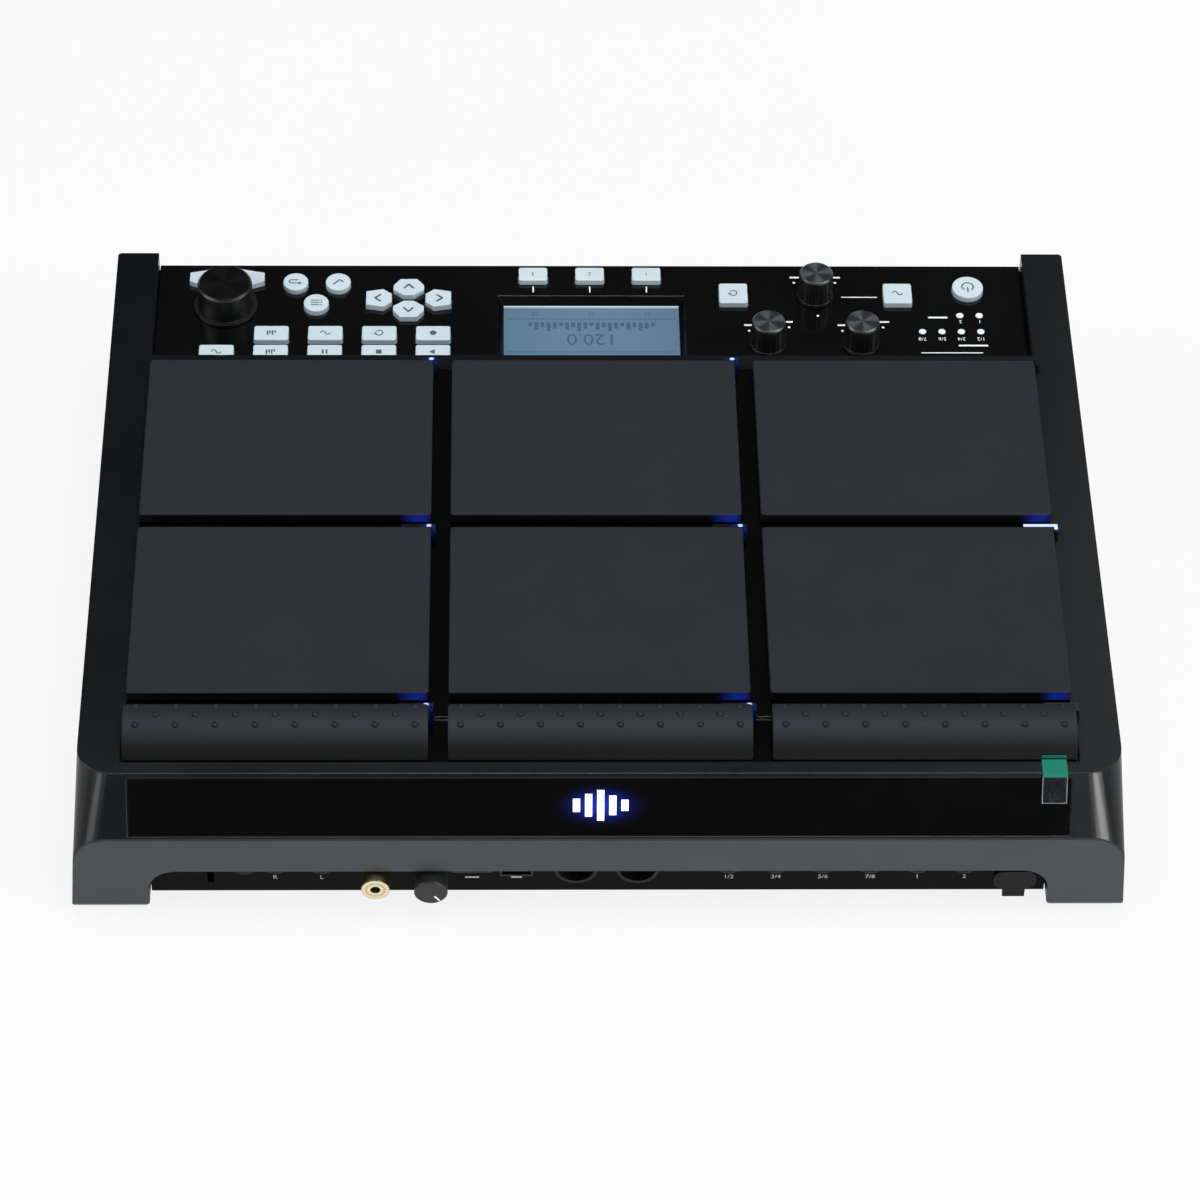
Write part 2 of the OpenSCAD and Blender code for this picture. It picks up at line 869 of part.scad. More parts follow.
// Shapes of the keys, seen from above, g is the growth
module wing_shape(s, g) {
    difference() {
        translate([dial_pos[0], fy(dial_pos[1])])
            polygon([for (p = wing_points(g)) [s * p[0], p[1]]]);
        translate([dial_pos[0], fy(dial_pos[1])])
            circle(r = dial_skirt_r + wing_ring - 1.5 * g);
    }
}

module lobe_shape(s, g) {
    translate([cursor_x, fy(cursor_f + s * cursor_df)])
        polygon([for (p = lobe_points(g)) [p[0], s * p[1]]]);
}

module side_shape(s, g) {
    translate([cursor_x + s * cursor_dx, fy(cursor_f)])
        polygon([for (p = side_points(g)) [s * p[0], p[1]]]);
}

module rect_shape(x, f, w, d, g, gf) {
    translate([x, fy(f)])
        rounded_rect(w + 2 * g, d + 2 * gf, key_r + gf);
}

module round_shape(x, f, r, g) {
    translate([x, fy(f)])
        circle(r = r + g);
}

module all_key_shapes(g) {
    for (s = [-1, 1]) {
        wing_shape(s, g);
        lobe_shape(s, g);
        side_shape(s, g);
    }
    for (p = round_pos)
        round_shape(p[0], p[1], round_r, g);
    for (i = [0 : row1_count - 1])
        rect_shape(row_x(i), row1_f, row_key_w, row_key_d, g, g);
    for (i = [0 : row2_count - 1])
        rect_shape(row_x(i), row2_f, row_key_w, row_key_d, g, g);
    for (x = f_key_x)
        rect_shape(x, f_key_f, f_key_w, f_key_d, g, g);
    for (p = square_pos)
        rect_shape(p[0], p[1], square_w, square_w, g, g);
    round_shape(power_pos[0], power_pos[1], power_r, g);
}

module control_panel() {
    bevel = lcd_side;
    half = recess_w / 2 - panel_fit;
    color([0.03, 0.03, 0.03])
        difference() {
            union() {
                box(-half, half, fy(0), fy(panel_d - panel_fit), seat_z, panel_z);
                for (p = hang_pos)
                    translate([p[0], fy(p[1]), key_board_top])
                        cylinder(r = hang_r, h = seat_z + over - key_board_top);
            }
            translate([0, 0, seat_z - over])
                linear_extrude(panel_t + 2 * over)
                    all_key_shapes(key_gap);
            for (p = knob_pos)
                translate([p[0], fy(p[1]), seat_z - over])
                    cylinder(r = nose_hole_r, h = panel_t + 2 * over);
            translate([dial_pos[0], fy(dial_pos[1]), seat_z - over])
                cylinder(r = nose_hole_r, h = panel_t + 2 * over);
            for (p = led_pos)
                translate([p[0], fy(p[1]), seat_z - over])
                    cylinder(r = led_r + led_fit, h = panel_t + 2 * over);
            intersection() {
                along_y(fy(lcd_f1), lcd_f1 - lcd_f0)
                    polygon([
                        [-lcd_w / 2 + bevel, seat_z - over], [-lcd_w / 2 + bevel, seat_z],
                        [-lcd_w / 2, panel_z], [-lcd_w / 2, panel_z + over],
                        [lcd_w / 2, panel_z + over], [lcd_w / 2, panel_z],
                        [lcd_w / 2 - bevel, seat_z], [lcd_w / 2 - bevel, seat_z - over]]);
                along_x(lcd_w + 2 * over)
                    polygon([
                        [fy(lcd_f0 + lcd_far), seat_z - over], [fy(lcd_f0 + lcd_far), seat_z],
                        [fy(lcd_f0), panel_z], [fy(lcd_f0), panel_z + over],
                        [fy(lcd_f1), panel_z + over], [fy(lcd_f1), seat_z - over]]);
            }
            for (p = hang_pos)
                translate([p[0], fy(p[1]), key_board_top - over])
                    cylinder(r = hang_pilot_r, h = hang_pilot_l + over);
        }
}

module rear_strip() {
    color([0.02, 0.02, 0.02])
        on_slope()
            translate([-strip_w / 2 + strip_fit, strip_in + strip_fit, -strip_cut])
                cube([strip_w - 2 * strip_fit, strip_l - 2 * strip_fit, strip_t]);
}

// Rectangular hole in the jack panel
module panel_slot(x, w, z, h) {
    box(x - w / 2, x + w / 2, jack_in_y - over, bay_y + over, z, z + h);
}

module jack_panel() {
    half = arch_w / 2 - jack_fit;
    through = jack_plate_t + 2 * over;
    play = 2 * jack_fit;
    color([0.05, 0.05, 0.05])
        difference() {
            box(-half, half, jack_in_y, bay_y, floor_z, bay_roof_z);
            for (x = phone_x)
                rod_y(x, bay_y + over, jack_z, jack_hole_r, through);
            for (x = din_x)
                rod_y(x, bay_y + over, din_z, din_r + din_fit, through);
            panel_slot(usb_a_x, usb_a_w + play, jack_z - (usb_a_h + play) / 2, usb_a_h + play);
            panel_slot(usb_b_x, usb_b_w + play, jack_z - (usb_b_h + play) / 2, usb_b_h + play);
            rod_y(dc_x, bay_y + over, jack_z, dc_nose_r + jack_fit, through);
            rod_y(volume_pos[0], bay_y + over, volume_pos[1], nose_hole_r, through);
            panel_slot(lock_x, lock_w, lock_z, lock_h);
        }
}

module lcd_module() {
    color([0.45, 0.58, 0.7])
        box(lcd_side - lcd_w / 2 - lcd_lap, lcd_w / 2 - lcd_side + lcd_lap,
            fy(lcd_f0 + lcd_far - lcd_lap), fy(lcd_f1 + lcd_lap), seat_z - lcd_t, seat_z);
}

module pad_bushes() {
    color([0.15, 0.15, 0.15])
        at_all_pins()
            difference() {
                union() {
                    translate([0, 0, body_h - deck_t - bush_flange_t])
                        cylinder(r = bush_flange_r, h = bush_flange_t);
                    translate([0, 0, body_h - deck_t - lap])
                        cylinder(r = bush_r, h = deck_t + lap - well_drop - bush_sink);
                }
                translate([0, 0, body_h - 2 * deck_t])
                    cylinder(r = bush_bore_r, h = 3 * deck_t);
            }
}

module piezo_sensors() {
    color([0.75, 0.62, 0.3])
        for (c = [-1, 0, 1]) {
            for (r = [0, 1])
                translate([col_x(c), fy(row_f[r] + pad_d / 2), body_h - piezo_t])
                    cylinder(r = piezo_r, h = piezo_t);
            translate([col_x(c), fy(bar_pin_f), body_h - well_drop - bar_piezo_t])
                cylinder(r = bar_piezo_r, h = bar_piezo_t);
        }
}

module led_light_pipes() {
    color([0.85, 0.9, 1])
        at_pipes(0);
}

module main_board() {
    color([0.05, 0.3, 0.12])
        difference() {
            box(-board_w / 2, board_w / 2, board_y - board_d, board_y, board_z, board_top);
            at_standoffs(board_z - over)
                cylinder(r = board_hole_r, h = board_t + 2 * over);
        }
}

module panel_board() {
    half = recess_w / 2 - shelf_in - key_board_side;
    color([0.05, 0.3, 0.12])
        difference() {
            box(-half, half, fy(key_board_f), fy(panel_d - key_board_rear), key_board_z, key_board_top);
            for (p = hang_pos)
                translate([p[0], fy(p[1]), key_board_z - over])
                    cylinder(r = hang_hole_r, h = board_t + 2 * over);
        }
}

module tact_at(x, f) {
    translate([x - tact_w / 2, fy(f) - tact_w / 2, key_board_top])
        cube([tact_w, tact_w, tact_h]);
    translate([x, fy(f), key_board_top])
        cylinder(r = tact_nub_r, h = tact_h + tact_nub_h);
}

module tact_switches() {
    color([0.2, 0.2, 0.2]) {
        for (s = [-1, 1]) {
            tact_at(dial_pos[0] + s * wing_stem_x, dial_pos[1] - wing_stem_f);
            tact_at(cursor_x, cursor_f + s * cursor_df);
            tact_at(cursor_x + s * cursor_dx, cursor_f);
        }
        for (p = round_pos)
            tact_at(p[0], p[1]);
        for (i = [0 : row1_count - 1])
            tact_at(row_x(i), row1_f);
        for (i = [0 : row2_count - 1])
            tact_at(row_x(i), row2_f);
        for (x = f_key_x)
            tact_at(x, f_key_f);
        for (p = square_pos)
            tact_at(p[0], p[1]);
        tact_at(power_pos[0], power_pos[1]);
    }
}

module pot_at(x, f, w) {
    difference() {
        union() {
            translate([x - w / 2, fy(f) - w / 2, key_board_top])
                cube([w, w, pot_h]);
            translate([x, fy(f), key_board_top + pot_h - over])
                cylinder(r = bush_nose_r, h = panel_z - nose_sink - key_board_top - pot_h + over);
        }
        translate([x, fy(f), key_board_top + pot_floor])
            cylinder(r = shaft_bore_r, h = panel_z);
    }
}

module rotary_controls() {
    v = volume_pos;
    half = volume_pot_w / 2;
    color([0.6, 0.6, 0.62]) {
        for (p = knob_pos)
            pot_at(p[0], p[1], pot_w);
        pot_at(dial_pos[0], dial_pos[1], dial_pot_w);
        difference() {
            union() {
                box(v[0] - half, v[0] + half, jack_in_y - volume_pot_l, jack_in_y, board_top, v[1] + half);
                rod_y(v[0], bay_y + nose_rise, v[1], bush_nose_r, nose_rise + jack_plate_t + lap);
            }
            rod_y(v[0], bay_y + over, v[1], shaft_bore_r, volume_bore_l + over);
        }
    }
}

module indicator_leds() {
    color([0.9, 0.92, 0.95])
        for (p = led_pos)
            translate([p[0], fy(p[1]), key_board_top])
                cylinder(r = led_r, h = panel_z + led_rise - key_board_top);
}

module phone_jacks() {
    half = jack_w / 2;
    color([0.06, 0.06, 0.06])
        for (x = phone_x)
            difference() {
                union() {
                    box(x - half, x + half, jack_in_y - jack_l, jack_in_y, board_top, 2 * jack_z - board_top);
                    rod_y(x, bay_y, jack_z, jack_nose_r, jack_plate_t + lap);
                }
                rod_y(x, bay_y + over, jack_z, jack_r, jack_bore_l + over);
            }
}

module midi_sockets() {
    half = din_body_w / 2;
    floor_y = bay_y + din_rise - din_deep;
    color([0.08, 0.08, 0.08])
        for (x = din_x)
            difference() {
                union() {
                    rod_y(x, bay_y + din_rise, din_z, din_r, din_deep + din_wall);
                    box(x - half, x + half, jack_in_y - din_body_l, floor_y - din_wall + lap,
                        board_top, din_z + din_r);
                }
                rod_y(x, bay_y + over, din_z, din_in_r, bay_y + over - floor_y);
                for (a = [0 : 45 : 180])
                    rod_y(x + din_pin_ring * cos(a), floor_y + over, din_z - din_pin_ring * sin(a),
                        din_pin_r, din_pin_l + over);
            }
}

// Open metal shell of a computer or stick socket, on its foot
module usb_shell_at(x, w, h) {
    half = w / 2;
    z0 = jack_z - h / 2;
    z1 = jack_z + h / 2;
    back = jack_in_y - usb_l;
    difference() {
        box(x - half, x + half, back, bay_y + usb_rise, z0, z1);
        box(x - half + usb_shell, x + half - usb_shell, back + usb_back, bay_y + over,
            z0 + usb_shell, z1 - usb_shell);
    }
    box(x - half, x + half, back, jack_in_y - usb_foot, board_top, z0);
}

module usb_tongue(x, w, z, t) {
    box(x - w / 2, x + w / 2, jack_in_y - usb_l, bay_y - tongue_in, jack_z + z, jack_z + z + t);
}

module usb_sockets() {
    color([0.7, 0.7, 0.72]) {
        usb_shell_at(usb_a_x, usb_a_w, usb_a_h);
        usb_tongue(usb_a_x, tongue_a_w, tongue_a_z, tongue_a_t);
        usb_shell_at(usb_b_x, usb_b_w, usb_b_h);
        usb_tongue(usb_b_x, tongue_b_w, -tongue_b_t / 2, tongue_b_t);
    }
}

module dc_inlet() {
    half = dc_w / 2;
    color([0.06, 0.06, 0.06]) {
        difference() {
            union() {
                box(dc_x - half, dc_x + half, jack_in_y - dc_l, jack_in_y, board_top, jack_z + half);
                rod_y(dc_x, bay_y + dc_rise, jack_z, dc_nose_r, dc_rise + jack_plate_t + lap);
            }
            rod_y(dc_x, bay_y + over, jack_z, dc_r, dc_bore_l + over);
        }
        rod_y(dc_x, bay_y - over, jack_z, dc_pin_r, dc_bore_l);
    }
}

module cord_hook() {
    half = hook_stem_w / 2;
    y1 = rear_y - hook_in;
    y0 = y1 - hook_t;
    color([0.2, 0.21, 0.22]) {
        box(hook_x - half, hook_x + half, bay_y, y0 + lap, hook_stem_z, hook_stem_z + hook_stem_h);
        along_y(y1, hook_t)
            translate([hook_x, hook_z])
                rounded_rect(hook_w, hook_h, hook_r);
        box(hook_x - half, hook_x + half, y0, y1, hook_stem_z - hook_tail_l, hook_stem_z);
    }
}

module phone_adapter() {
    y1 = rear_y + adapter_out;
    color([0.85, 0.75, 0.5])
        difference() {
            union() {
                rod_y(adapter_x, y1, jack_z, adapter_r, adapter_out + bay_d - adapter_gap);
                rod_y(adapter_x, bay_y + over, jack_z, plug_r, plug_l);
            }
            rod_y(adapter_x, y1 + over, jack_z, adapter_bore_r, adapter_bore_l + over);
        }
}

module rubber_feet() {
    color([0.06, 0.06, 0.06])
        for (s = [-1, 1], f = foot_fs)
            translate([s * foot_x, fy(f), 0])
                cylinder(r = foot_r, h = foot_t);
}

module screws() {
    color([0.5, 0.5, 0.52]) {
        for (s = [-1, 1], f = post_fs)
            translate([s * post_x, fy(f), floor_z]) {
                cylinder(r = screw_r, h = screw_l);
                cylinder(r = screw_head_r, h = screw_head_h);
            }
        at_standoffs(floor_top + head_gap) {
            cylinder(r = board_screw_r, h = board_top - floor_top);
            translate([0, 0, board_top - floor_top - head_gap])
                cylinder(r = board_head_r, h = board_head_h);
        }
        for (p = hang_pos)
            translate([p[0], fy(p[1]), key_board_z - hang_head_h]) {
                cylinder(r = hang_head_r, h = hang_head_h);
                cylinder(r = hang_screw_r, h = hang_head_h + hang_screw_l);
            }
    }
}

module flat_pad(c, r) {
    z0 = body_h + pad_float;
    color([0.17, 0.17, 0.19]) {
        translate([col_x(c), fy(row_f[r] + pad_d / 2), z0])
            soft_slab(pad_w, pad_d, body_h + pad_rise - z0, pad_r, pad_edge);
        at_pad_pins(c, r)
            translate([0, 0, pin_foot])
                cylinder(r = pin_r, h = z0 + lap - pin_foot);
    }
}

// Side view of a bar, from the player's side towards the rear
module bar_profile() {
    h = bar_rise + well_drop - pad_float;
    intersection() {
        square([bar_d, h]);
        translate([bar_peak, h - bar_crown])
            circle(r = bar_crown);
    }
}

module ridge_bar(c) {
    z0 = body_h - well_drop + pad_float;
    color([0.17, 0.17, 0.19]) {
        intersection() {
            translate([col_x(c), fy(bar_f), z0])
                along_x(pad_w)
                    bar_profile();
            translate([col_x(c), fy(bar_f + bar_d / 2), z0])
                linear_extrude(2 * bar_rise)
                    rounded_rect(pad_w, bar_d, pad_r);
        }
        for (n = [0 : dome_rows - 1])
            for (i = [0 : dome_last_in(n)])
                translate([col_x(c) + dome_x(n, i), fy(bar_f + dome_f(n)), dome_z(n)])
                    rotate_extrude()
                        polygon(dome_points);
        at_bar_pins(c)
            translate([0, 0, pin_foot - well_drop])
                cylinder(r = pin_r, h = z0 + lap - pin_foot + well_drop);
    }
}

// Foot of a key: the flange that the panel holds back and the stem over its switch
module key_foot_at(x, f) {
    translate([x, fy(f), key_foot])
        cylinder(r = stem_r, h = flange_z0 + lap - key_foot);
}

module key_flange() {
    translate([0, 0, flange_z0])
        linear_extrude(flange_z1 - flange_z0)
            children();
}

module key_colour() {
    color([0.88, 0.9, 0.92])
        children();
}

module rect_key(x, f, w, d, gf) {
    key_colour() {
        translate([x, fy(f), flange_z1 - key_lap])
            soft_slab(w, d, key_top - flange_z1 + key_lap, key_r, key_edge);
        key_flange()
            rect_shape(x, f, w, d, flange_w, gf);
        key_foot_at(x, f);
    }
}

module disc_key(x, f, r) {
    key_colour() {
        translate([x, fy(f), flange_z1 - key_lap])
            soft_disc(r, key_top - flange_z1 + key_lap, key_edge);
        key_flange()
            round_shape(x, f, r, flange_w);
        key_foot_at(x, f);
    }
}

module wing_key(s) {
    key_colour() {
        translate([0, 0, flange_z1 - key_lap])
            linear_extrude(key_top - flange_z1 + key_lap)
                wing_shape(s, 0);
        key_flange()
            wing_shape(s, flange_slim);
        key_foot_at(dial_pos[0] + s * wing_stem_x, dial_pos[1] - wing_stem_f);
    }
}

module lobe_key(s) {
    key_colour() {
        translate([0, 0, flange_z1 - key_lap])
            linear_extrude(key_top - flange_z1 + key_lap)
                lobe_shape(s, 0);
        key_flange()
            lobe_shape(s, flange_slim);
        key_foot_at(cursor_x, cursor_f + s * cursor_df);
    }
}

module side_key(s) {
    key_colour() {
        translate([0, 0, flange_z1 - key_lap])
            linear_extrude(key_top - flange_z1 + key_lap)
                side_shape(s, 0);
        key_flange()
            side_shape(s, flange_slim);
        key_foot_at(cursor_x + s * cursor_dx, cursor_f);
    }
}

module effect_knob(p) {
    z0 = panel_z + knob_lift;
    h = knob_h - knob_lift;
    top_r = knob_r - knob_taper;
    color([0.12, 0.12, 0.12])
        translate([p[0], fy(p[1]), z0]) {
            difference() {
                union() {
                    cylinder(r = knob_r, h = knob_skirt_h);
                    cylinder(r1 = knob_r - knob_step, r2 = top_r, h = h - knob_bevel);
                    translate([0, 0, h - knob_bevel])
                        cylinder(r1 = top_r, r2 = top_r - knob_bevel, h = knob_bevel);
                }
                for (i = [1 : knob_flutes])
                    rotate(i * 360 / knob_flutes)
                        translate([knob_r + flute_out, 0, knob_skirt_h])
                            cylinder(r = flute_r, h = h);
            }
            translate([0, 0, key_board_top + shaft_gap - z0])
                cylinder(r = shaft_r, h = z0 + lap - key_board_top - shaft_gap);
        }
}

module value_dial() {
    z0 = panel_z + knob_lift;
    h = dial_h - knob_lift;
    color([0.1, 0.1, 0.1])
        translate([dial_pos[0], fy(dial_pos[1]), z0]) {
            cylinder(r = dial_skirt_r, h = dial_skirt_h);
            cylinder(r1 = dial_r + dial_taper, r2 = dial_r, h = h - dial_bevel);
            translate([0, 0, h - dial_bevel])
                cylinder(r1 = dial_r, r2 = dial_r - dial_bevel, h = dial_bevel);
            translate([0, 0, key_board_top + shaft_gap - z0])
                cylinder(r = shaft_r, h = z0 + lap - key_board_top - shaft_gap);
        }
}

module volume_knob() {
    y1 = rear_y + knob_out;
    l = knob_out + bay_d - volume_gap;
    color([0.3, 0.3, 0.31])
        translate([volume_pos[0], y1, volume_pos[1]])
            rotate([90, 0, 0]) {
                cylinder(r1 = volume_r - volume_bevel, r2 = volume_r, h = volume_bevel);
                translate([0, 0, volume_bevel])
                    cylinder(r = volume_r, h = l - volume_bevel);
                translate([0, 0, l - lap])
                    cylinder(r = shaft_r, h = volume_shaft_l + lap);
            }
}

module pad_front_left() { flat_pad(-1, 0); }
module pad_front_mid() { flat_pad(0, 0); }
module pad_front_right() { flat_pad(1, 0); }
module pad_rear_left() { flat_pad(-1, 1); }
module pad_rear_mid() { flat_pad(0, 1); }
module pad_rear_right() { flat_pad(1, 1); }
module bar_left() { ridge_bar(-1); }
module bar_mid() { ridge_bar(0); }
module bar_right() { ridge_bar(1); }
module dial_key_left() { wing_key(-1); }
module dial_key_right() { wing_key(1); }
module round_key_left() { disc_key(round_pos[0][0], round_pos[0][1], round_r); }
module round_key_right() { disc_key(round_pos[1][0], round_pos[1][1], round_r); }
module round_key_rear() { disc_key(round_pos[2][0], round_pos[2][1], round_r); }
module cursor_up() { lobe_key(1); }
module cursor_down() { lobe_key(-1); }
module cursor_left() { side_key(-1); }
module cursor_right() { side_key(1); }
module front_key_1() { rect_key(row_x(0), row1_f, row_key_w, row_key_d, flange_w); }
module front_key_2() { rect_key(row_x(1), row1_f, row_key_w, row_key_d, flange_w); }
module front_key_3() { rect_key(row_x(2), row1_f, row_key_w, row_key_d, flange_w); }
module front_key_4() { rect_key(row_x(3), row1_f, row_key_w, row_key_d, flange_w); }
module rear_key_1() { rect_key(row_x(0), row2_f, row_key_w, row_key_d, flange_w); }
module rear_key_2() { rect_key(row_x(1), row2_f, row_key_w, row_key_d, flange_w); }
module rear_key_3() { rect_key(row_x(2), row2_f, row_key_w, row_key_d, flange_w); }
module rear_key_4() { rect_key(row_x(3), row2_f, row_key_w, row_key_d, flange_w); }
module rear_key_5() { rect_key(row_x(4), row2_f, row_key_w, row_key_d, flange_w); }
module function_key_1() { rect_key(f_key_x[0], f_key_f, f_key_w, f_key_d, f_key_flange); }
module function_key_2() { rect_key(f_key_x[1], f_key_f, f_key_w, f_key_d, f_key_flange); }
module function_key_3() { rect_key(f_key_x[2], f_key_f, f_key_w, f_key_d, f_key_flange); }
module square_key_left() { rect_key(square_pos[0][0], square_pos[0][1], square_w, square_w, flange_w); }
module square_key_right() { rect_key(square_pos[1][0], square_pos[1][1], square_w, square_w, flange_w); }
module power_button() { disc_key(power_pos[0], power_pos[1], power_r); }
module effect_knob_left() { effect_knob(knob_pos[2]); }
module effect_knob_front() { effect_knob(knob_pos[1]); }
module effect_knob_right() { effect_knob(knob_pos[0]); }

top_case();
base_pan();
control_panel();
rear_strip();
jack_panel();
lcd_module();
pad_bushes();
piezo_sensors();
led_light_pipes();
main_board();
panel_board();
tact_switches();
rotary_controls();
indicator_leds();
phone_jacks();
midi_sockets();
usb_sockets();
dc_inlet();
cord_hook();
phone_adapter();
rubber_feet();
screws();
pad_front_left();
pad_front_mid();
pad_front_right();
pad_rear_left();
pad_rear_mid();
pad_rear_right();
bar_left();
bar_mid();
bar_right();
dial_key_left();
dial_key_right();
round_key_left();
round_key_right();
round_key_rear();
cursor_up();
cursor_down();
cursor_left();
cursor_right();
front_key_1();
front_key_2();
front_key_3();
front_key_4();
rear_key_1();
rear_key_2();
rear_key_3();
rear_key_4();
rear_key_5();
function_key_1();
function_key_2();
function_key_3();
square_key_left();
square_key_right();
power_button();
effect_knob_left();
effect_knob_front();
effect_knob_right();
value_dial();
volume_knob();
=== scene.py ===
import json
import math

import bpy
from mathutils import Matrix, Vector


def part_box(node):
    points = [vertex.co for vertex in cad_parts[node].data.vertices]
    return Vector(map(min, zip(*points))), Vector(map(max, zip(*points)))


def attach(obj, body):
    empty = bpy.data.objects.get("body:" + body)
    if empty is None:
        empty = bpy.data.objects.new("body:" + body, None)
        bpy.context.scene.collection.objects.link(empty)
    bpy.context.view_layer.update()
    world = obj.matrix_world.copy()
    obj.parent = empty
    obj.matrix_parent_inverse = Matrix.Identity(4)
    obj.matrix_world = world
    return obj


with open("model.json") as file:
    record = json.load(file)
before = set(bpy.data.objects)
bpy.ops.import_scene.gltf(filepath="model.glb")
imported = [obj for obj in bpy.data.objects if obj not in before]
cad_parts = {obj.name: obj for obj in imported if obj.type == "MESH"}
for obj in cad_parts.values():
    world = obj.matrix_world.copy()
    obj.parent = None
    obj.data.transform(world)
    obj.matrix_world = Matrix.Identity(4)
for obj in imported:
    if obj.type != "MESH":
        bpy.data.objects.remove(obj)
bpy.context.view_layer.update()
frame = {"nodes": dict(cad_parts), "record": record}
nodes = frame["nodes"]
scene = bpy.context.scene
scene.view_settings.view_transform = "Standard"
mm = 0.001

# places that the looks hang on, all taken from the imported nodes
caseLow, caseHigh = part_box("top_case")
frontY, rearY, deckZ = caseLow.y, caseHigh.y, caseHigh.z
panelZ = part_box("control_panel")[1].z
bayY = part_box("jack_panel")[1].y
columnX = [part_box("pad_rear_" + side)[0].x for side in ("left", "mid", "right")]
columnPitch = abs(columnX[1] - columnX[0])
cornerX = min(columnX)  # a pad's lamp stands at its low x end
padBoxes = [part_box(name) for name in ("pad_front_left", "pad_front_right",
                                      "bar_left", "bar_right")]
padLow = Vector([min(low[i] for low, high in padBoxes) for i in range(3)])
padHigh = Vector([max(high[i] for low, high in padBoxes) for i in range(3)])
padMiddle, padHalf = (padLow + padHigh) / 2, (padHigh - padLow) / 2
print("frame loaded:", len(nodes), "nodes")

cameraSet = {
    "elevation": 47.0,  # degrees down, from the rear
    "yaw": -1.79,
    "roll": -1.3,
    "target": (-0.0011, 0.03715, 0.0538),
    "distance": 1.687,
    "focalPixels": 4574.0,  # in a frame of 1200 pixels
    "framePixels": 1200.0,
    "sensor": 36.0,  # millimetres wide
    "clipEnd": 50.0,
}


def makeCamera(s):
    e, yaw, roll = (math.radians(s[k]) for k in ("elevation", "yaw", "roll"))
    forward = Vector((math.sin(yaw) * math.cos(e), -math.cos(yaw) * math.cos(e), -math.sin(e)))
    right = forward.cross(Vector((0, 0, 1))).normalized()
    down = forward.cross(right)
    tiltedRight = right * math.cos(roll) + down * math.sin(roll)
    tiltedDown = down * math.cos(roll) - right * math.sin(roll)
    bpy.ops.object.camera_add(location=Vector(s["target"]) - forward * s["distance"])
    camera = bpy.context.object
    camera.rotation_euler = Matrix((tiltedRight, -tiltedDown, -forward)).transposed().to_euler()
    camera.data.sensor_width = s["sensor"]
    camera.data.lens = s["sensor"] * s["focalPixels"] / s["framePixels"]
    camera.data.clip_end = s["clipEnd"]
    scene.camera = camera


makeCamera(cameraSet)
print("camera set")


class Wire:
    # one output in a material, so that sums on it read as plain sums
    def __init__(self, finish, socket):
        self.finish = finish
        self.socket = socket

    def maths(self, operation, other, swap=False):
        pair = (other, self) if swap else (self, other)
        return self.finish.make("ShaderNodeMath", {"operation": operation}, pair)

    def __add__(self, other):
        return self.maths("ADD", other)

    def __radd__(self, other):
        return self.maths("ADD", other, True)

    def __sub__(self, other):
        return self.maths("SUBTRACT", other)

    def __rsub__(self, other):
        return self.maths("SUBTRACT", other, True)

    def __mul__(self, other):
        return self.maths("MULTIPLY", other)

    def __rmul__(self, other):
        return self.maths("MULTIPLY", other, True)

    def __truediv__(self, other):
        return self.maths("DIVIDE", other)

    def __rtruediv__(self, other):
        return self.maths("DIVIDE", other, True)

    def __pow__(self, other):
        return self.maths("POWER", other)

    def __mod__(self, other):
        return self.maths("FLOORED_MODULO", other)

    def __gt__(self, other):
        return self.maths("GREATER_THAN", other)

    def __lt__(self, other):
        return self.maths("LESS_THAN", other)

    def __abs__(self):
        return self.maths("ABSOLUTE", 0.0)


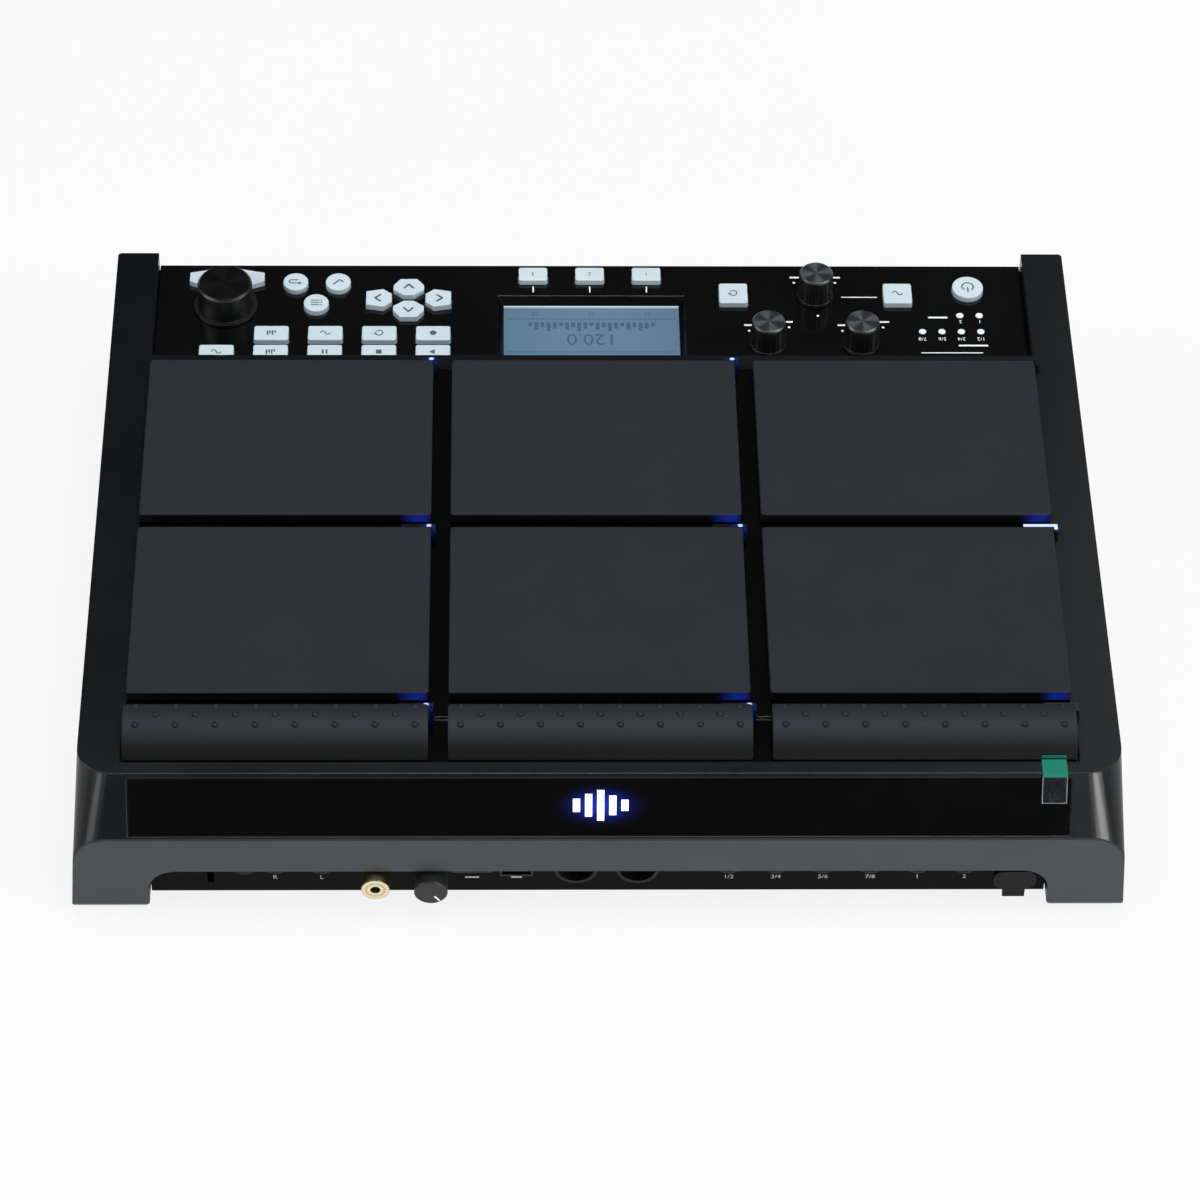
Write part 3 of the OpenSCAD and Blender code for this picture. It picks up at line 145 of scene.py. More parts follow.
class Finish:
    # a material with its principled shader, and a method that adds any other node
    def __init__(self, name, **fixed):
        self.material = bpy.data.materials.new(name)
        self.material.use_nodes = True
        self.tree = self.material.node_tree
        self.shader = self.tree.nodes["Principled BSDF"]
        for key, value in fixed.items():
            self.shader.inputs[key.replace("_", " ")].default_value = value

    def make(self, kind, settings=None, inputs=(), output=0):
        node = self.tree.nodes.new(kind)
        for key, value in (settings or {}).items():
            setattr(node, key, value)
        for key, value in (inputs.items() if isinstance(inputs, dict) else enumerate(inputs)):
            self.feed(node.inputs[key], value)
        return Wire(self, node.outputs[output])

    def feed(self, socket, value):
        if isinstance(value, Wire):
            self.tree.links.new(value.socket, socket)
        else:
            socket.default_value = value

    def give(self, **wires):
        for key, value in wires.items():
            self.feed(self.shader.inputs[key.replace("_", " ")], value)

    def coords(self, kind="Object"):
        return self.make("ShaderNodeTexCoord", output=kind)

    def split(self, vector):
        node = self.make("ShaderNodeSeparateXYZ", None, (vector,)).socket.node
        return [Wire(self, node.outputs[i]) for i in range(3)]

    def join(self, x, y, z):
        return self.make("ShaderNodeCombineXYZ", None, (x, y, z))

    def noise(self, place, scale, detail=2.0, rough=0.5):
        inputs = {"Vector": place, "Scale": scale, "Detail": detail, "Roughness": rough}
        return self.make("ShaderNodeTexNoise", None, inputs, "Fac")

    def blend(self, factor, first, second):
        inputs = {0: factor, 6: first, 7: second}
        return self.make("ShaderNodeMix", {"data_type": "RGBA"}, inputs, 2)

    def mottle(self, factor, code, low, high):
        # one colour, between two levels of it
        return self.blend(factor, tint(code, low), tint(code, high))

    def dim(self, colour, level):
        first = colour if isinstance(colour, Wire) else colour[:3]
        inputs = {0: first, "Scale": level}
        return self.make("ShaderNodeVectorMath", {"operation": "SCALE"}, inputs)

    def between(self, wire, low, high):
        # 0 at low and 1 at high, smooth between, whichever of them is greater
        return self.make("ShaderNodeMapRange", {"interpolation_type": "SMOOTHSTEP"},
                         {"Value": wire, "From Min": low, "From Max": high})

    def bump(self, height, strength, depth, normal=None):
        inputs = {"Strength": strength, "Distance": depth, "Height": height}
        if normal:
            inputs["Normal"] = normal
        self.give(Normal=self.make("ShaderNodeBump", None, inputs))

    def softEdge(self, radius):
        return self.make("ShaderNodeBevel", {"samples": 4}, {"Radius": radius})


def tint(code, level=1.0):
    # colour from a hex code, as linear light
    parts = [int(code[i:i + 2], 16) / 255 for i in (1, 3, 5)]
    linear = [p / 12.92 if p < 0.04045 else ((p + 0.055) / 1.055) ** 2.4 for p in parts]
    return tuple(level * p for p in linear) + (1.0,)


# plastics and rubbers, by slot of the record
plastics = {
    # the case's well colour is painted shade on the deck among the pads
    "case_black": {"colour": "#090c0f", "vary": 0.12, "rough": 0.25, "grainScale": 2600,
                   "grainStrength": 0.14, "edge": 0.0009, "shine": 0.34, "wellShade": "#030304",
                   "wellRough": 0.14},
    # the grey's bay colour is painted shade inside the arch of the rear face
    "case_grey": {"colour": "#2a2f33", "vary": 0.07, "rough": 0.42, "grainScale": 2600,
                  "grainStrength": 0.14, "edge": 0.0009, "shine": 0.45, "bay": "#040404"},
    "panel_gloss": {"colour": "#060607", "vary": 0.2, "rough": 0.1, "grainScale": 900,
                    "grainStrength": 0.01, "edge": 0.0003},
    "strip_gloss": {"colour": "#040405", "vary": 0.2, "rough": 0.1, "grainScale": 900,
                    "grainStrength": 0.01, "edge": 0.0003, "shine": 0.4},
    "jack_plate": {"colour": "#040404", "vary": 0.15, "rough": 0.5, "grainScale": 2200,
                   "grainStrength": 0.15, "shine": 0.06},
    "bush_nylon": {"colour": "#262626", "vary": 0.15, "rough": 0.5, "grainScale": 1800,
                   "grainStrength": 0.1},
    "switch_black": {"colour": "#1d1d1e", "vary": 0.15, "rough": 0.5, "grainScale": 1800,
                     "grainStrength": 0.1},
    "socket_black": {"colour": "#0b0b0c", "vary": 0.15, "rough": 0.42, "grainScale": 2000,
                     "grainStrength": 0.12, "shine": 0.25},
    "hook_smoke": {"colour": "#070808", "vary": 0.3, "rough": 0.26, "grainScale": 1500,
                   "grainStrength": 0.05, "shine": 0.15},
    "foot_rubber": {"colour": "#121212", "vary": 0.2, "rough": 0.8, "grainScale": 1200,
                    "grainStrength": 0.3},
    # the wall colour of both rubbers is painted shade on their side walls
    "pad_rubber": {"colour": "#1d2025", "vary": 0.06, "rough": 0.7, "grainScale": 1500,
                   "grainStrength": 0.35, "grainDepth": 0.00012, "speck": 0.25, "shine": 0.16,
                   "cloudScale": 30, "wall": "#060607", "wallRange": (0.2, 0.62), "glow": True},
    "bar_rubber": {"colour": "#1d2126", "vary": 0.06, "rough": 0.6, "grainScale": 1500,
                   "grainStrength": 0.3, "grainDepth": 0.00012, "speck": 0.25, "shine": 0.16,
                   "cloudScale": 30, "wall": "#060607", "wallRange": (0.6, 1.0)},
    "key_white": {"colour": "#b6c6ce", "vary": 0.03, "rough": 0.42, "grainScale": 1600,
                  "grainStrength": 0.08},
    "volume_grey": {"colour": "#171919", "vary": 0.12, "rough": 0.42, "grainScale": 1800,
                    "grainStrength": 0.15, "shine": 0.4},
}
# what each of them has unless its own line says otherwise
plainPlastic = {"shine": 0.5, "cloudScale": 22.0, "cloudDetail": (4.0, 0.6), "cloudRough": 0.1,
                "grainDetail": (2.0, 0.55), "grainRough": 0.06, "grainDepth": 0.00008,
                "speck": 0.0, "shadeRange": (0.3, 0.7), "edge": 0.0004}
# lamp light on the wall of the next pad, by the way from the lamp in metres
padGlow = {"blue": (0.004, 0.012, 0.16, 1.0), "level": 1.0, "rises": (-0.001, 0.003),
           "falls": (0.0125, 0.005), "facing": 0.7}
# the arch in the rear face, where shade is painted: half its width, its height, and from where to
# where behind the face
baySet = {"half": 0.166, "top": 0.0225, "behind": (0.0007, 0.02)}


def moulded(name, s):
    # cloudy colour, a fine grain and softly broken edges
    s = {**plainPlastic, **s}
    finish = Finish(name, Specular_IOR_Level=s["shine"])
    place = finish.coords()
    cloud = finish.noise(place, s["cloudScale"], *s["cloudDetail"])
    grain = finish.noise(place, s["grainScale"], *s["grainDetail"])
    shade = finish.between(cloud + (grain - 0.5) * s["speck"], *s["shadeRange"])
    colour = finish.mottle(shade, s["colour"], 1 - s["vary"], 1 + s["vary"])
    rough = s["rough"] + (cloud - 0.5) * s["cloudRough"] + (grain - 0.5) * s["grainRough"]
    if s.get("wall"):
        # painted shade: the side walls are darker than the top, since less light falls on them
        across, along, up = finish.split(finish.coords("Normal"))
        colour = finish.blend(finish.between(up, *s["wallRange"]), tint(s["wall"]), colour)
        if s.get("glow"):
            x, y, z = finish.split(place)
            reach = (x - cornerX) % columnPitch
            near = finish.between(reach, *padGlow["falls"])
            near = near * finish.between(reach, *padGlow["rises"])
            lit = near * (along > padGlow["facing"]) * (z > deckZ)
            finish.shader.inputs["Emission Strength"].default_value = padGlow["level"]
            finish.give(Emission_Color=finish.dim(padGlow["blue"], lit))
    if s.get("wellShade"):
        # painted shade: the deck under and between the pads is darkened, since shade falls there;
        # it is also smoother than its border
        x, y, z = finish.split(place)
        inside = (abs(x - padMiddle.x) < padHalf.x) * (abs(y - padMiddle.y) < padHalf.y)
        colour = finish.blend(inside, colour, tint(s["wellShade"]))
        rough = rough + inside * (s["wellRough"] - s["rough"])
    if s.get("bay"):
        # painted shade: behind the rear face, the recess of the arch is painted as black as the
        # jack panel
        x, y, z = finish.split(place)
        start, end = (rearY - depth for depth in baySet["behind"])
        inside = (abs(x) < baySet["half"]) * (y < start) * (y > end) * (z < baySet["top"])
        colour = finish.blend(inside, colour, tint(s["bay"]))
    finish.give(Base_Color=colour, Roughness=rough)
    finish.bump(grain, s["grainStrength"], s["grainDepth"], finish.softEdge(s["edge"]))
    return finish


slotFinish = {slot: moulded(slot, s) for slot, s in plastics.items()}

metals = {
    "control_metal": {"colour": "#a9aaad", "rough": 0.35, "streak": (900, 120, 900)},
    # the usb plating is partly a dark nickel and partly darkened further: painted shade of the bay
    # over the sockets
    "usb_metal": {"colour": "#3a3b3e", "rough": 0.3, "streak": (900, 120, 900)},
    "screw_steel": {"colour": "#9c9ea2", "rough": 0.35, "streak": (700, 700, 700)},
    "piezo_brass": {"colour": "#d8b65c", "rough": 0.3, "streak": (600, 600, 600)},
}
# what they share
plainMetal = {"shades": (0.85, 1.05), "roughVary": 0.15, "detail": (3.0, 0.6),
              "bump": (0.08, 0.00005)}


def makeMetal(name, s):
    # plated or drawn metal with fine streaks
    s = {**plainMetal, **s}
    finish = Finish(name, Metallic=1.0)
    drawn = [c * k for c, k in zip(finish.split(finish.coords()), s["streak"])]
    streak = finish.noise(finish.join(*drawn), 1.0, *s["detail"])
    finish.give(Base_Color=finish.mottle(streak, s["colour"], *s["shades"]))
    finish.give(Roughness=s["rough"] + (streak - 0.5) * s["roughVary"])
    finish.bump(streak, *s["bump"])
    return finish


slotFinish.update({slot: makeMetal(slot, s) for slot, s in metals.items()})


def polar(first, second, centre):
    # radius and angle about an axis through centre
    a, b = first - centre[0], second - centre[1]
    return (a * a + b * b) ** 0.5, b.maths("ARCTAN2", a)


def sine(wire):
    return wire.maths("SINE", 0.0)


adapterSet = {"colour": "#efe2bd", "shades": (0.6, 1.05), "rough": 0.24, "roughVary": 0.12,
              "knurls": 64, "ring": 0.0019, "endDeep": 0.0004, "cloudScale": 900.0,
              "cloudShare": 0.4, "knurlShadeShare": 0.4, "base": 0.3, "bump": (0.35, 0.0001)}


def makeAdapter(s):
    # gilt barrel with a knurl, and rings turned on its end; the knurl and rings also stripe the
    # colour, painted shade and highlight of their relief
    low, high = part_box("phone_adapter")
    finish = Finish("adapter_gold", Metallic=1.0)
    place = finish.coords()
    x, y, z = finish.split(place)
    radius, angle = polar(x, z, ((low.x + high.x) / 2, (low.z + high.z) / 2))
    end = y > high.y - s["endDeep"]
    turned = sine(radius * (2 * math.pi / s["ring"]))
    # the knurl and rings feed the bump as relief and the colour as painted shade and highlight
    knurl = sine(angle * s["knurls"]) * (1 - end) + turned * end
    cloud = finish.noise(place, s["cloudScale"])
    shade = cloud * s["cloudShare"] + knurl * s["knurlShadeShare"] + s["base"]
    finish.give(Base_Color=finish.mottle(shade, s["colour"], *s["shades"]))
    finish.give(Roughness=s["rough"] + (cloud - 0.5) * s["roughVary"])
    finish.bump(knurl, *s["bump"])
    return finish


slotFinish["adapter_gold"] = makeAdapter(adapterSet)

boardSet = {"colour": "#0c4a22", "track": "#15692f", "trackScale": 160.0, "trackEdge": (0.5, 0.52),
            "pad": "#b79a50", "pitch": 0.0032, "radius": 0.0004, "padScale": 45.0,
            "padsFrom": 0.56, "tinned": 0.9, "rough": 0.4}


def makeBoard(s):
    # solder resist with faint tracks under it and rows of small tinned pads
    finish = Finish("board_green", Roughness=s["rough"])
    place = finish.coords()
    x, y, z = finish.split(place)
    track = finish.between(finish.noise(place, s["trackScale"], 0.0), *s["trackEdge"])
    green = finish.blend(track, tint(s["colour"]), tint(s["track"]))
    cellX, cellY = (abs((c % s["pitch"]) - s["pitch"] / 2) for c in (x, y))
    chosen = finish.noise(place, s["padScale"], 0.0) > s["padsFrom"]
    spot = ((cellX * cellX + cellY * cellY) ** 0.5 < s["radius"]) * chosen
    finish.give(Base_Color=finish.blend(spot, green, tint(s["pad"])), Metallic=spot * s["tinned"])
    return finish


slotFinish["board_green"] = makeBoard(boardSet)

knobLook = {"body": "#080809", "top": "#47494c", "rough": 0.3}
spunSet = {
    "effect_knob_left": {**knobLook, "from": 0.0},
    "effect_knob_front": {**knobLook, "from": 0.9},
    "effect_knob_right": {**knobLook, "from": 0.4},
    "value_dial": {"body": "#060607", "top": "#0a0a0b", "rough": 0.34, "from": 0.2},
}
# what their turned tops share
latheSet = {"sheenFans": 4, "sheenFanShare": 0.5, "spokeShare": 0.9, "sheenFanFull": 0.95, "ringShare": 0.25,
            "shades": (0.3, 2.0), "topDeep": 0.0003, "wallRough": 0.4, "roughVary": 0.08,
            "metallic": 0.6, "detail": (2.0, 0.6), "rings": (9000, 0.6), "spokes": (7.0, 60),
            "bump": (0.12, 0.00005), "edge": 0.0003}


def makeSpun(name, s):
    # black side wall, and a top face turned on a lathe whose bright and dark fans are painted
    # highlight of spun metal
    s = {**latheSet, **s}
    low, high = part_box(name)
    finish = Finish("spun_" + name)
    x, y, z = finish.split(finish.coords())
    radius, angle = polar(x, y, ((low.x + high.x) / 2, (low.y + high.y) / 2))
    top = z > high.z - s["topDeep"]
    ringPlace = finish.join(radius * s["rings"][0], angle * s["rings"][1], 0.0)
    rings = finish.noise(ringPlace, 1.0, *s["detail"])
    spokePlace = finish.join(angle * s["spokes"][0], 0.0, radius * s["spokes"][1])
    spokes = finish.noise(spokePlace, 1.0, *s["detail"])
    # painted highlight: bright and dark fans where spun metal catches the light
    sheenFan = sine(angle * s["sheenFans"] + s["from"]) * s["sheenFanShare"] + spokes * s["spokeShare"]
    sheenFan = finish.between(sheenFan, 0.0, s["sheenFanFull"])
    shade = sheenFan * (1 - s["ringShare"]) + rings * s["ringShare"]
    metal = finish.mottle(shade, s["top"], *s["shades"])
    finish.give(Base_Color=finish.blend(top, tint(s["body"]), metal), Metallic=top * s["metallic"])
    rough = s["wallRough"] + top * (s["rough"] - s["wallRough"])
    finish.give(Roughness=rough + (rings - 0.5) * s["roughVary"])
    finish.bump(rings, *s["bump"], finish.softEdge(s["edge"]))
    return finish


displaySet = {"colour": "#6889a4", "rim": "#d3e2ee", "glow": 0.8, "unlit": (0.08, 0.2),
              "rough": 0.12, "half": 0.0343, "low": 0.0204, "deep": 0.032, "rimDeep": 0.055,
              "middle": 1.04, "sideFade": 0.14, "endFade": 0.1, "pixel": 0.00045, "line": 0.16,
              "lineDim": 0.06, "cloudScale": 60.0, "cloudLow": 0.95, "cloudVary": 0.1}


def makeDisplay(s):
    # backlit glass: faint pixel grid, a bright rim on the player's side, darker to the corners
    finish = Finish("display", Roughness=s["rough"], Emission_Strength=1.0)
    place = finish.coords()
    x, y, z = finish.split(place)
    across = abs(x) / s["half"]
    along = (y - (frontY + s["low"])) / s["deep"]
    fade = s["middle"] - across * across * s["sideFade"] - abs(along - 0.5) * s["endFade"]
    line = s["pixel"] * s["line"]
    grid = ((x % s["pixel"]) < line) + ((y % s["pixel"]) < line)
    rim = finish.between(along, s["rimDeep"], 0.0)
    lit = finish.blend(rim, tint(s["colour"]), tint(s["rim"]))
    unlit = finish.blend(rim, tint(s["colour"], s["unlit"][0]), tint(s["rim"], s["unlit"][1]))
    level = fade * (1.0 - grid * s["lineDim"])
    level = level * (s["cloudLow"] + finish.noise(place, s["cloudScale"]) * s["cloudVary"])
    finish.give(Base_Color=unlit, Emission_Color=finish.dim(lit, level * s["glow"]))
    return finish


slotFinish["display"] = makeDisplay(displaySet)

lampSet = {"corner": (0.45, 0.6, 1.0, 1.0), "blue": (0.01, 0.04, 0.6, 1.0), "strength": 1.5,
           "spot": 0.0013, "core": 0.4, "spotIn": 0.0008, "spotOff": 0.001, "before": 0.002,
           "halo": (0.005, 0.001), "haloLevel": 0.1, "stripHalf": 0.002, "stripLong": 0.012,
           "strip": "pad_rear_left", "rows": ("pad_front_left", "pad_rear_left", "bar_left"),
           "dark": "#08090c", "light": "#12151b", "cloudScale": 300.0, "rough": 0.18,
           "facing": 0.5}


def makeLightPipe(s):
    # clear acrylic: a lit spot at each pad corner of two columns, and one strip lit all along
    finish = Finish("light_pipe", Roughness=s["rough"], Emission_Strength=s["strength"])
    place = finish.coords()
    x, y, z = finish.split(place)
    across, along, up = finish.split(finish.coords("Normal"))
    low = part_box(s["strip"])[0]
    reach = (x - cornerX + s["before"]) % columnPitch - s["before"]
    offs = [abs(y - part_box(row)[0].y + s["spotOff"]) for row in s["rows"]]
    off = offs[0].maths("MINIMUM", offs[1]).maths("MINIMUM", offs[2])
    away = ((reach - s["spotIn"]) ** 2 + off ** 2) ** 0.5
    column = x > cornerX + columnPitch / 2  # the last column shows its strip alone
    corner = finish.between(away, s["spot"], s["spot"] * s["core"]) * column
    strip = (abs(y - (low.y - s["spotOff"])) < s["stripHalf"]) * (x < low.x + s["stripLong"])
    lit = corner.maths("MAXIMUM", strip) * (up > s["facing"])
    halo = finish.between(away, *s["halo"]) * s["haloLevel"] * column * (1 - lit)
    glow = finish.blend(lit, s["blue"], s["corner"])
    cloud = finish.noise(place, s["cloudScale"])
    finish.give(Base_Color=finish.blend(cloud, tint(s["dark"]), tint(s["light"])))
    finish.give(Emission_Color=finish.dim(glow, lit + halo))
    return finish


slotFinish["light_pipe"] = makeLightPipe(lampSet)

lensSet = {"dark": "#c9d0d6", "light": "#eef3f6", "cloudScale": 700.0, "rough": 0.3}


def makeLens(s):
    # milky and a little uneven
    finish = Finish("led_lens", Roughness=s["rough"])
    cloud = finish.noise(finish.coords(), s["cloudScale"], 1.0)
    finish.give(Base_Color=finish.blend(cloud, tint(s["dark"]), tint(s["light"])))
    return finish


slotFinish["led_lens"] = makeLens(lensSet)

for part in frame["record"]["subparts"]:
    name = part["node"]
    finish = makeSpun(name, spunSet[name]) if name in spunSet else slotFinish[part["material_slot"]]
    nodes[name].data.materials.clear()
    nodes[name].data.materials.append(finish.material)
print("finishes on all nodes")

printSet = {"coverScale": 1800.0, "cover": (0.88, 1.04), "glowScale": 400.0, "glow": (0.9, 1.0)}


def printed(name, s):
    # ink: slightly uneven cover over the ground
    finish = Finish(name, Roughness=s["rough"])
    place = finish.coords()
    cover = finish.noise(place, printSet["coverScale"])
    finish.give(Base_Color=finish.mottle(cover, s["colour"], *printSet["cover"]))
    if s.get("glow"):
        cloud = finish.noise(place, printSet["glowScale"], 1.0)
        finish.shader.inputs["Emission Strength"].default_value = s["glow"]
        finish.give(Emission_Color=finish.mottle(cloud, s["colour"], *printSet["glow"]))
    return finish


inkSet = {
    "ink_white": {"colour": "#dfe3e6", "rough": 0.5},
    "ink_grey": {"colour": "#4a4e52", "rough": 0.5},
    "ink_worn": {"colour": "#9fa3a5", "rough": 0.5},
    "ink_display": {"colour": "#324a5e", "rough": 0.4, "glow": 0.5},
    "emblem_light": {"colour": "#f4f8ff", "rough": 0.3, "glow": 1.2},
}
inks = {name: printed(name, s) for name, s in inkSet.items()}
inkLift = 0.00004  # height of a mark over its ground
inkThick = 0.00003
roundCorners = 48


def face(origin, right, up):
    # frame of a flat ground: right and up as its reader sees them
    right, up = Vector(right).normalized(), Vector(up).normalized()
    out = right.cross(up)
    place = Vector(origin) + out * inkLift
    return Matrix((right, up, out)).transposed().to_4x4() + Matrix(
        ((0, 0, 0, place.x), (0, 0, 0, place.y), (0, 0, 0, place.z), (0, 0, 0, 0)))


def settle(ground, x, y, turn=0.0, stretch=1.0):
    # lays the active object on a ground and puts its place into its mesh
    piece = bpy.context.object
    place = Matrix.Translation((x * mm, y * mm, 0))
    spin = Matrix.Rotation(math.radians(turn), 4, "Z")
    piece.matrix_world = ground @ place @ spin @ Matrix.Diagonal((1, stretch, 1, 1))
    bpy.ops.object.transform_apply(location=True, rotation=True, scale=True)
    return piece


def thicken():
    # a flat outline becomes a thin closed sheet
    bpy.ops.object.mode_set(mode="EDIT")
    bpy.ops.mesh.select_all(action="SELECT")
    bpy.ops.mesh.extrude_region_move(TRANSFORM_OT_translate={"value": (0, 0, inkThick)})
    bpy.ops.mesh.select_all(action="SELECT")
    bpy.ops.mesh.normals_make_consistent(inside=False)
    bpy.ops.object.mode_set(mode="OBJECT")


def bar(ground, x, y, w, d, turn=0.0):
    bpy.ops.object.select_all(action="DESELECT")
    bpy.ops.mesh.primitive_plane_add(size=1)
    piece = bpy.context.object
    piece.scale = (w * mm, d * mm, 1)
    bpy.ops.object.transform_apply(location=False, rotation=False, scale=True)
    thicken()
    return settle(ground, x, y, turn)


def disc(ground, x, y, r, corners=24, turn=0.0, stretch=1.0):
    bpy.ops.object.select_all(action="DESELECT")
    bpy.ops.mesh.primitive_circle_add(vertices=corners, radius=r * mm, fill_type="NGON")
    thicken()
    return settle(ground, x, y, turn, stretch)


def ring(ground, x, y, r, w, gap, gapAt):
    # ring of width w, open for gap degrees about gapAt
    bpy.ops.object.select_all(action="DESELECT")
    bpy.ops.mesh.primitive_circle_add(vertices=roundCorners, radius=r * mm, fill_type="NGON")
    bpy.ops.object.mode_set(mode="EDIT")
    bpy.ops.mesh.select_all(action="SELECT")
    bpy.ops.mesh.inset(thickness=w * mm)
    bpy.ops.mesh.delete(type="FACE")
    bpy.ops.object.mode_set(mode="OBJECT")
    for polygon in bpy.context.object.data.polygons:
        angle = math.degrees(math.atan2(polygon.center.y, polygon.center.x))
        polygon.select = abs((angle - gapAt + 180) % 360 - 180) < gap / 2
    bpy.ops.object.mode_set(mode="EDIT")
    bpy.ops.mesh.delete(type="FACE")
    bpy.ops.object.mode_set(mode="OBJECT")
    thicken()
    return settle(ground, x, y)


def figures(ground, x, y, text, size):
    # plain figures, made a mesh before they are laid
    bpy.ops.object.select_all(action="DESELECT")
    bpy.ops.object.text_add()
    words = bpy.context.object
    words.data.body = text
    words.data.size = size * mm
    words.data.extrude = inkThick / 2
    words.data.resolution_u = 3
    words.data.align_x, words.data.align_y = "CENTER", "CENTER"
    bpy.ops.object.convert(target="MESH")
    return settle(ground, x, y)


def joined(name, parts, ink, body):
    bpy.ops.object.select_all(action="DESELECT")
    for part in parts:
        part.select_set(True)
    bpy.context.view_layer.objects.active = parts[0]
    if len(parts) > 1:
        bpy.ops.object.join()
    piece = bpy.context.object
    piece.name = name
    piece.data.name = name
    piece.data.materials.clear()
    piece.data.materials.append(ink.material)
    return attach(piece, body)


panelGround = face((0, frontY, panelZ), (1, 0, 0), (0, 1, 0))
# places across and from the front, in mm
panelMarks = {
    "ticks": (22.8, 0.5, -21.8),  # under the function keys
    "tickF": 13.6,
    "tick": (0.5, 3.4),
    "lines": ((-105.4, 17.9, 14.2, 0.5), (-140.0, 49.3, 24.1, 0.5)),
    "figures": ((-144.5, 31.6, "2"), (-152.0, 31.6, "1"), (-129.0, 41.4, "7/8"),
                (-136.7, 41.4, "5/6"), (-144.3, 41.4, "3/4"), (-151.9, 41.4, "1/2")),
    "figureSize": 2.5,
    "dots": ((-80.1, 9.6), (-96.3, 9.6), (-88.7, 28.5), (-61.4, 37.0), (-77.1, 35.0),
             (-97.9, 37.0), (-113.9, 35.0)),
    "dotRadius": 0.55,
    "shortBars": ((-80.3, 6.6), (-96.6, 6.6), (-61.4, 33.8), (-98.0, 33.8), (-114.6, 32.0),
                  (-76.9, 32.0)),
    "shortBar": (3.6, 0.9),
    "longBars": ((-135.7, 29.4, 7.6, 0.9), (-148.6, 45.2, 11.4, 0.9)),
}


def markPanel(s):
    parts = [bar(panelGround, x, s["tickF"], *s["tick"]) for x in s["ticks"]]
    parts += [bar(panelGround, *line) for line in s["lines"]]
    parts += [figures(panelGround, x, f, text, s["figureSize"]) for x, f, text in s["figures"]]
    parts += [disc(panelGround, x, f, s["dotRadius"], 12) for x, f in s["dots"]]
    parts += [bar(panelGround, x, f, *s["shortBar"]) for x, f in s["shortBars"]]
    parts += [bar(panelGround, *line) for line in s["longBars"]]
    joined("panel_marks", parts, inks["ink_white"], "case")


markPanel(panelMarks)


def keyGround(node):
    low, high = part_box(node)
    return face(((low.x + high.x) / 2, (low.y + high.y) / 2, high.z), (1, 0, 0), (0, 1, 0))


chevronSet = {"out": 0.45, "apart": 0.95, "long": 3.1, "wide": 0.75, "lean": 40}


def chevron(ground, turn, s):
    # an open arrow head that points along turn, 0 is to the right
    c, n = math.cos(math.radians(turn)), math.sin(math.radians(turn))
    parts = []
    for side in (1, -1):
        x = c * s["out"] - n * side * s["apart"]
        y = n * s["out"] + c * side * s["apart"]
        parts.append(bar(ground, x, y, s["long"], s["wide"], turn - side * s["lean"]))
    return parts


def sign(ground, kind):
    # common symbols, in mm about the middle of the key
    if kind == "play":
        return [disc(ground, 0, 0, 1.5, 3, -90)]
    if kind == "stop":
        return [bar(ground, 0, 0, 2.2, 2.2)]
    if kind == "record":
        return [disc(ground, 0, 0, 1.3)]
    if kind == "pause":
        return [bar(ground, x, 0, 0.7, 2.3) for x in (-0.75, 0.75)]
    if kind == "loop":
        return [ring(ground, 0, 0, 1.6, 0.45, 60, 0), disc(ground, 1.5, 0.4, 0.8, 3, 180)]
    if kind == "menu":
        rows = (-1.3, 0, 1.3)
        lines = [bar(ground, 0.4, y, 3.4, 0.5) for y in rows]
        return lines + [disc(ground, -2.0, y, 0.35, 10) for y in rows]
    if kind == "tick":
        return [bar(ground, -1.3, -0.4, 2.0, 0.6, -45), bar(ground, 0.7, 0.3, 3.6, 0.6, 48)]
    if kind == "back":
        return [bar(ground, 0.3, 0.9, 3.2, 0.5), disc(ground, -1.6, 0.9, 0.9, 3, 90),
                ring(ground, 1.7, 0.0, 1.15, 0.5, 180, 180), bar(ground, 0.4, -0.9, 2.6, 0.5)]
    if kind == "wave":
        return [ring(ground, x, 0, 1.15, 0.45, 180, at) for x, at in ((-0.9, -90), (0.9, 90))]
    if kind == "level":
        columns = ((-1.5, 1.2), (-0.5, 2.4), (0.5, 1.8), (1.5, 2.6))
        return [bar(ground, x, h / 2 - 1.2, 0.6, h) for x, h in columns]
    if kind == "power":
        return [ring(ground, 0, -0.2, 2.5, 0.55, 70, 90), bar(ground, 0, 1.5, 0.55, 2.8)]
    return [figures(ground, 0, 0, kind, 2.6)]


keySigns = {
    "round_key_left": "tick", "round_key_right": "back", "round_key_rear": "menu",
    "front_key_1": "record", "front_key_2": "loop", "front_key_3": "wave", "front_key_4": "level",
    "rear_key_1": "play", "rear_key_2": "stop", "rear_key_3": "pause", "rear_key_4": "level",
    "rear_key_5": "wave",
    "function_key_1": "1", "function_key_2": "2", "function_key_3": "3",
    "square_key_left": "wave", "square_key_right": "loop", "power_button": "power",
}
cursorTurns = {"cursor_up": 90, "cursor_down": -90, "cursor_left": 180, "cursor_right": 0}
for node, kind in keySigns.items():
    joined(node + "_sign", sign(keyGround(node), kind), inks["ink_grey"], node + "_body")
for node, turn in cursorTurns.items():
    parts = chevron(keyGround(node), turn, chevronSet)
    joined(node + "_sign", parts, inks["ink_grey"], node + "_body")
print("panel and key marks laid")

displayMarks = {
    "f0": 20.4, "wide": 66.0, "lines": (7.4, 26.0), "lineDeep": 0.35,
    "heads": ((-22, "01"), (0, "02"), (22, "03")), "headF": 4.2, "headSize": 3.0,
    "levels": 21, "levelX": -24, "levelF": 10.4, "pitch": 2.4, "levelWide": 1.5,
    "levelLow": 2, "levelStep": 0.35,
    "number": "120.0", "numberF": 18.6, "numberSize": 9.0,
}


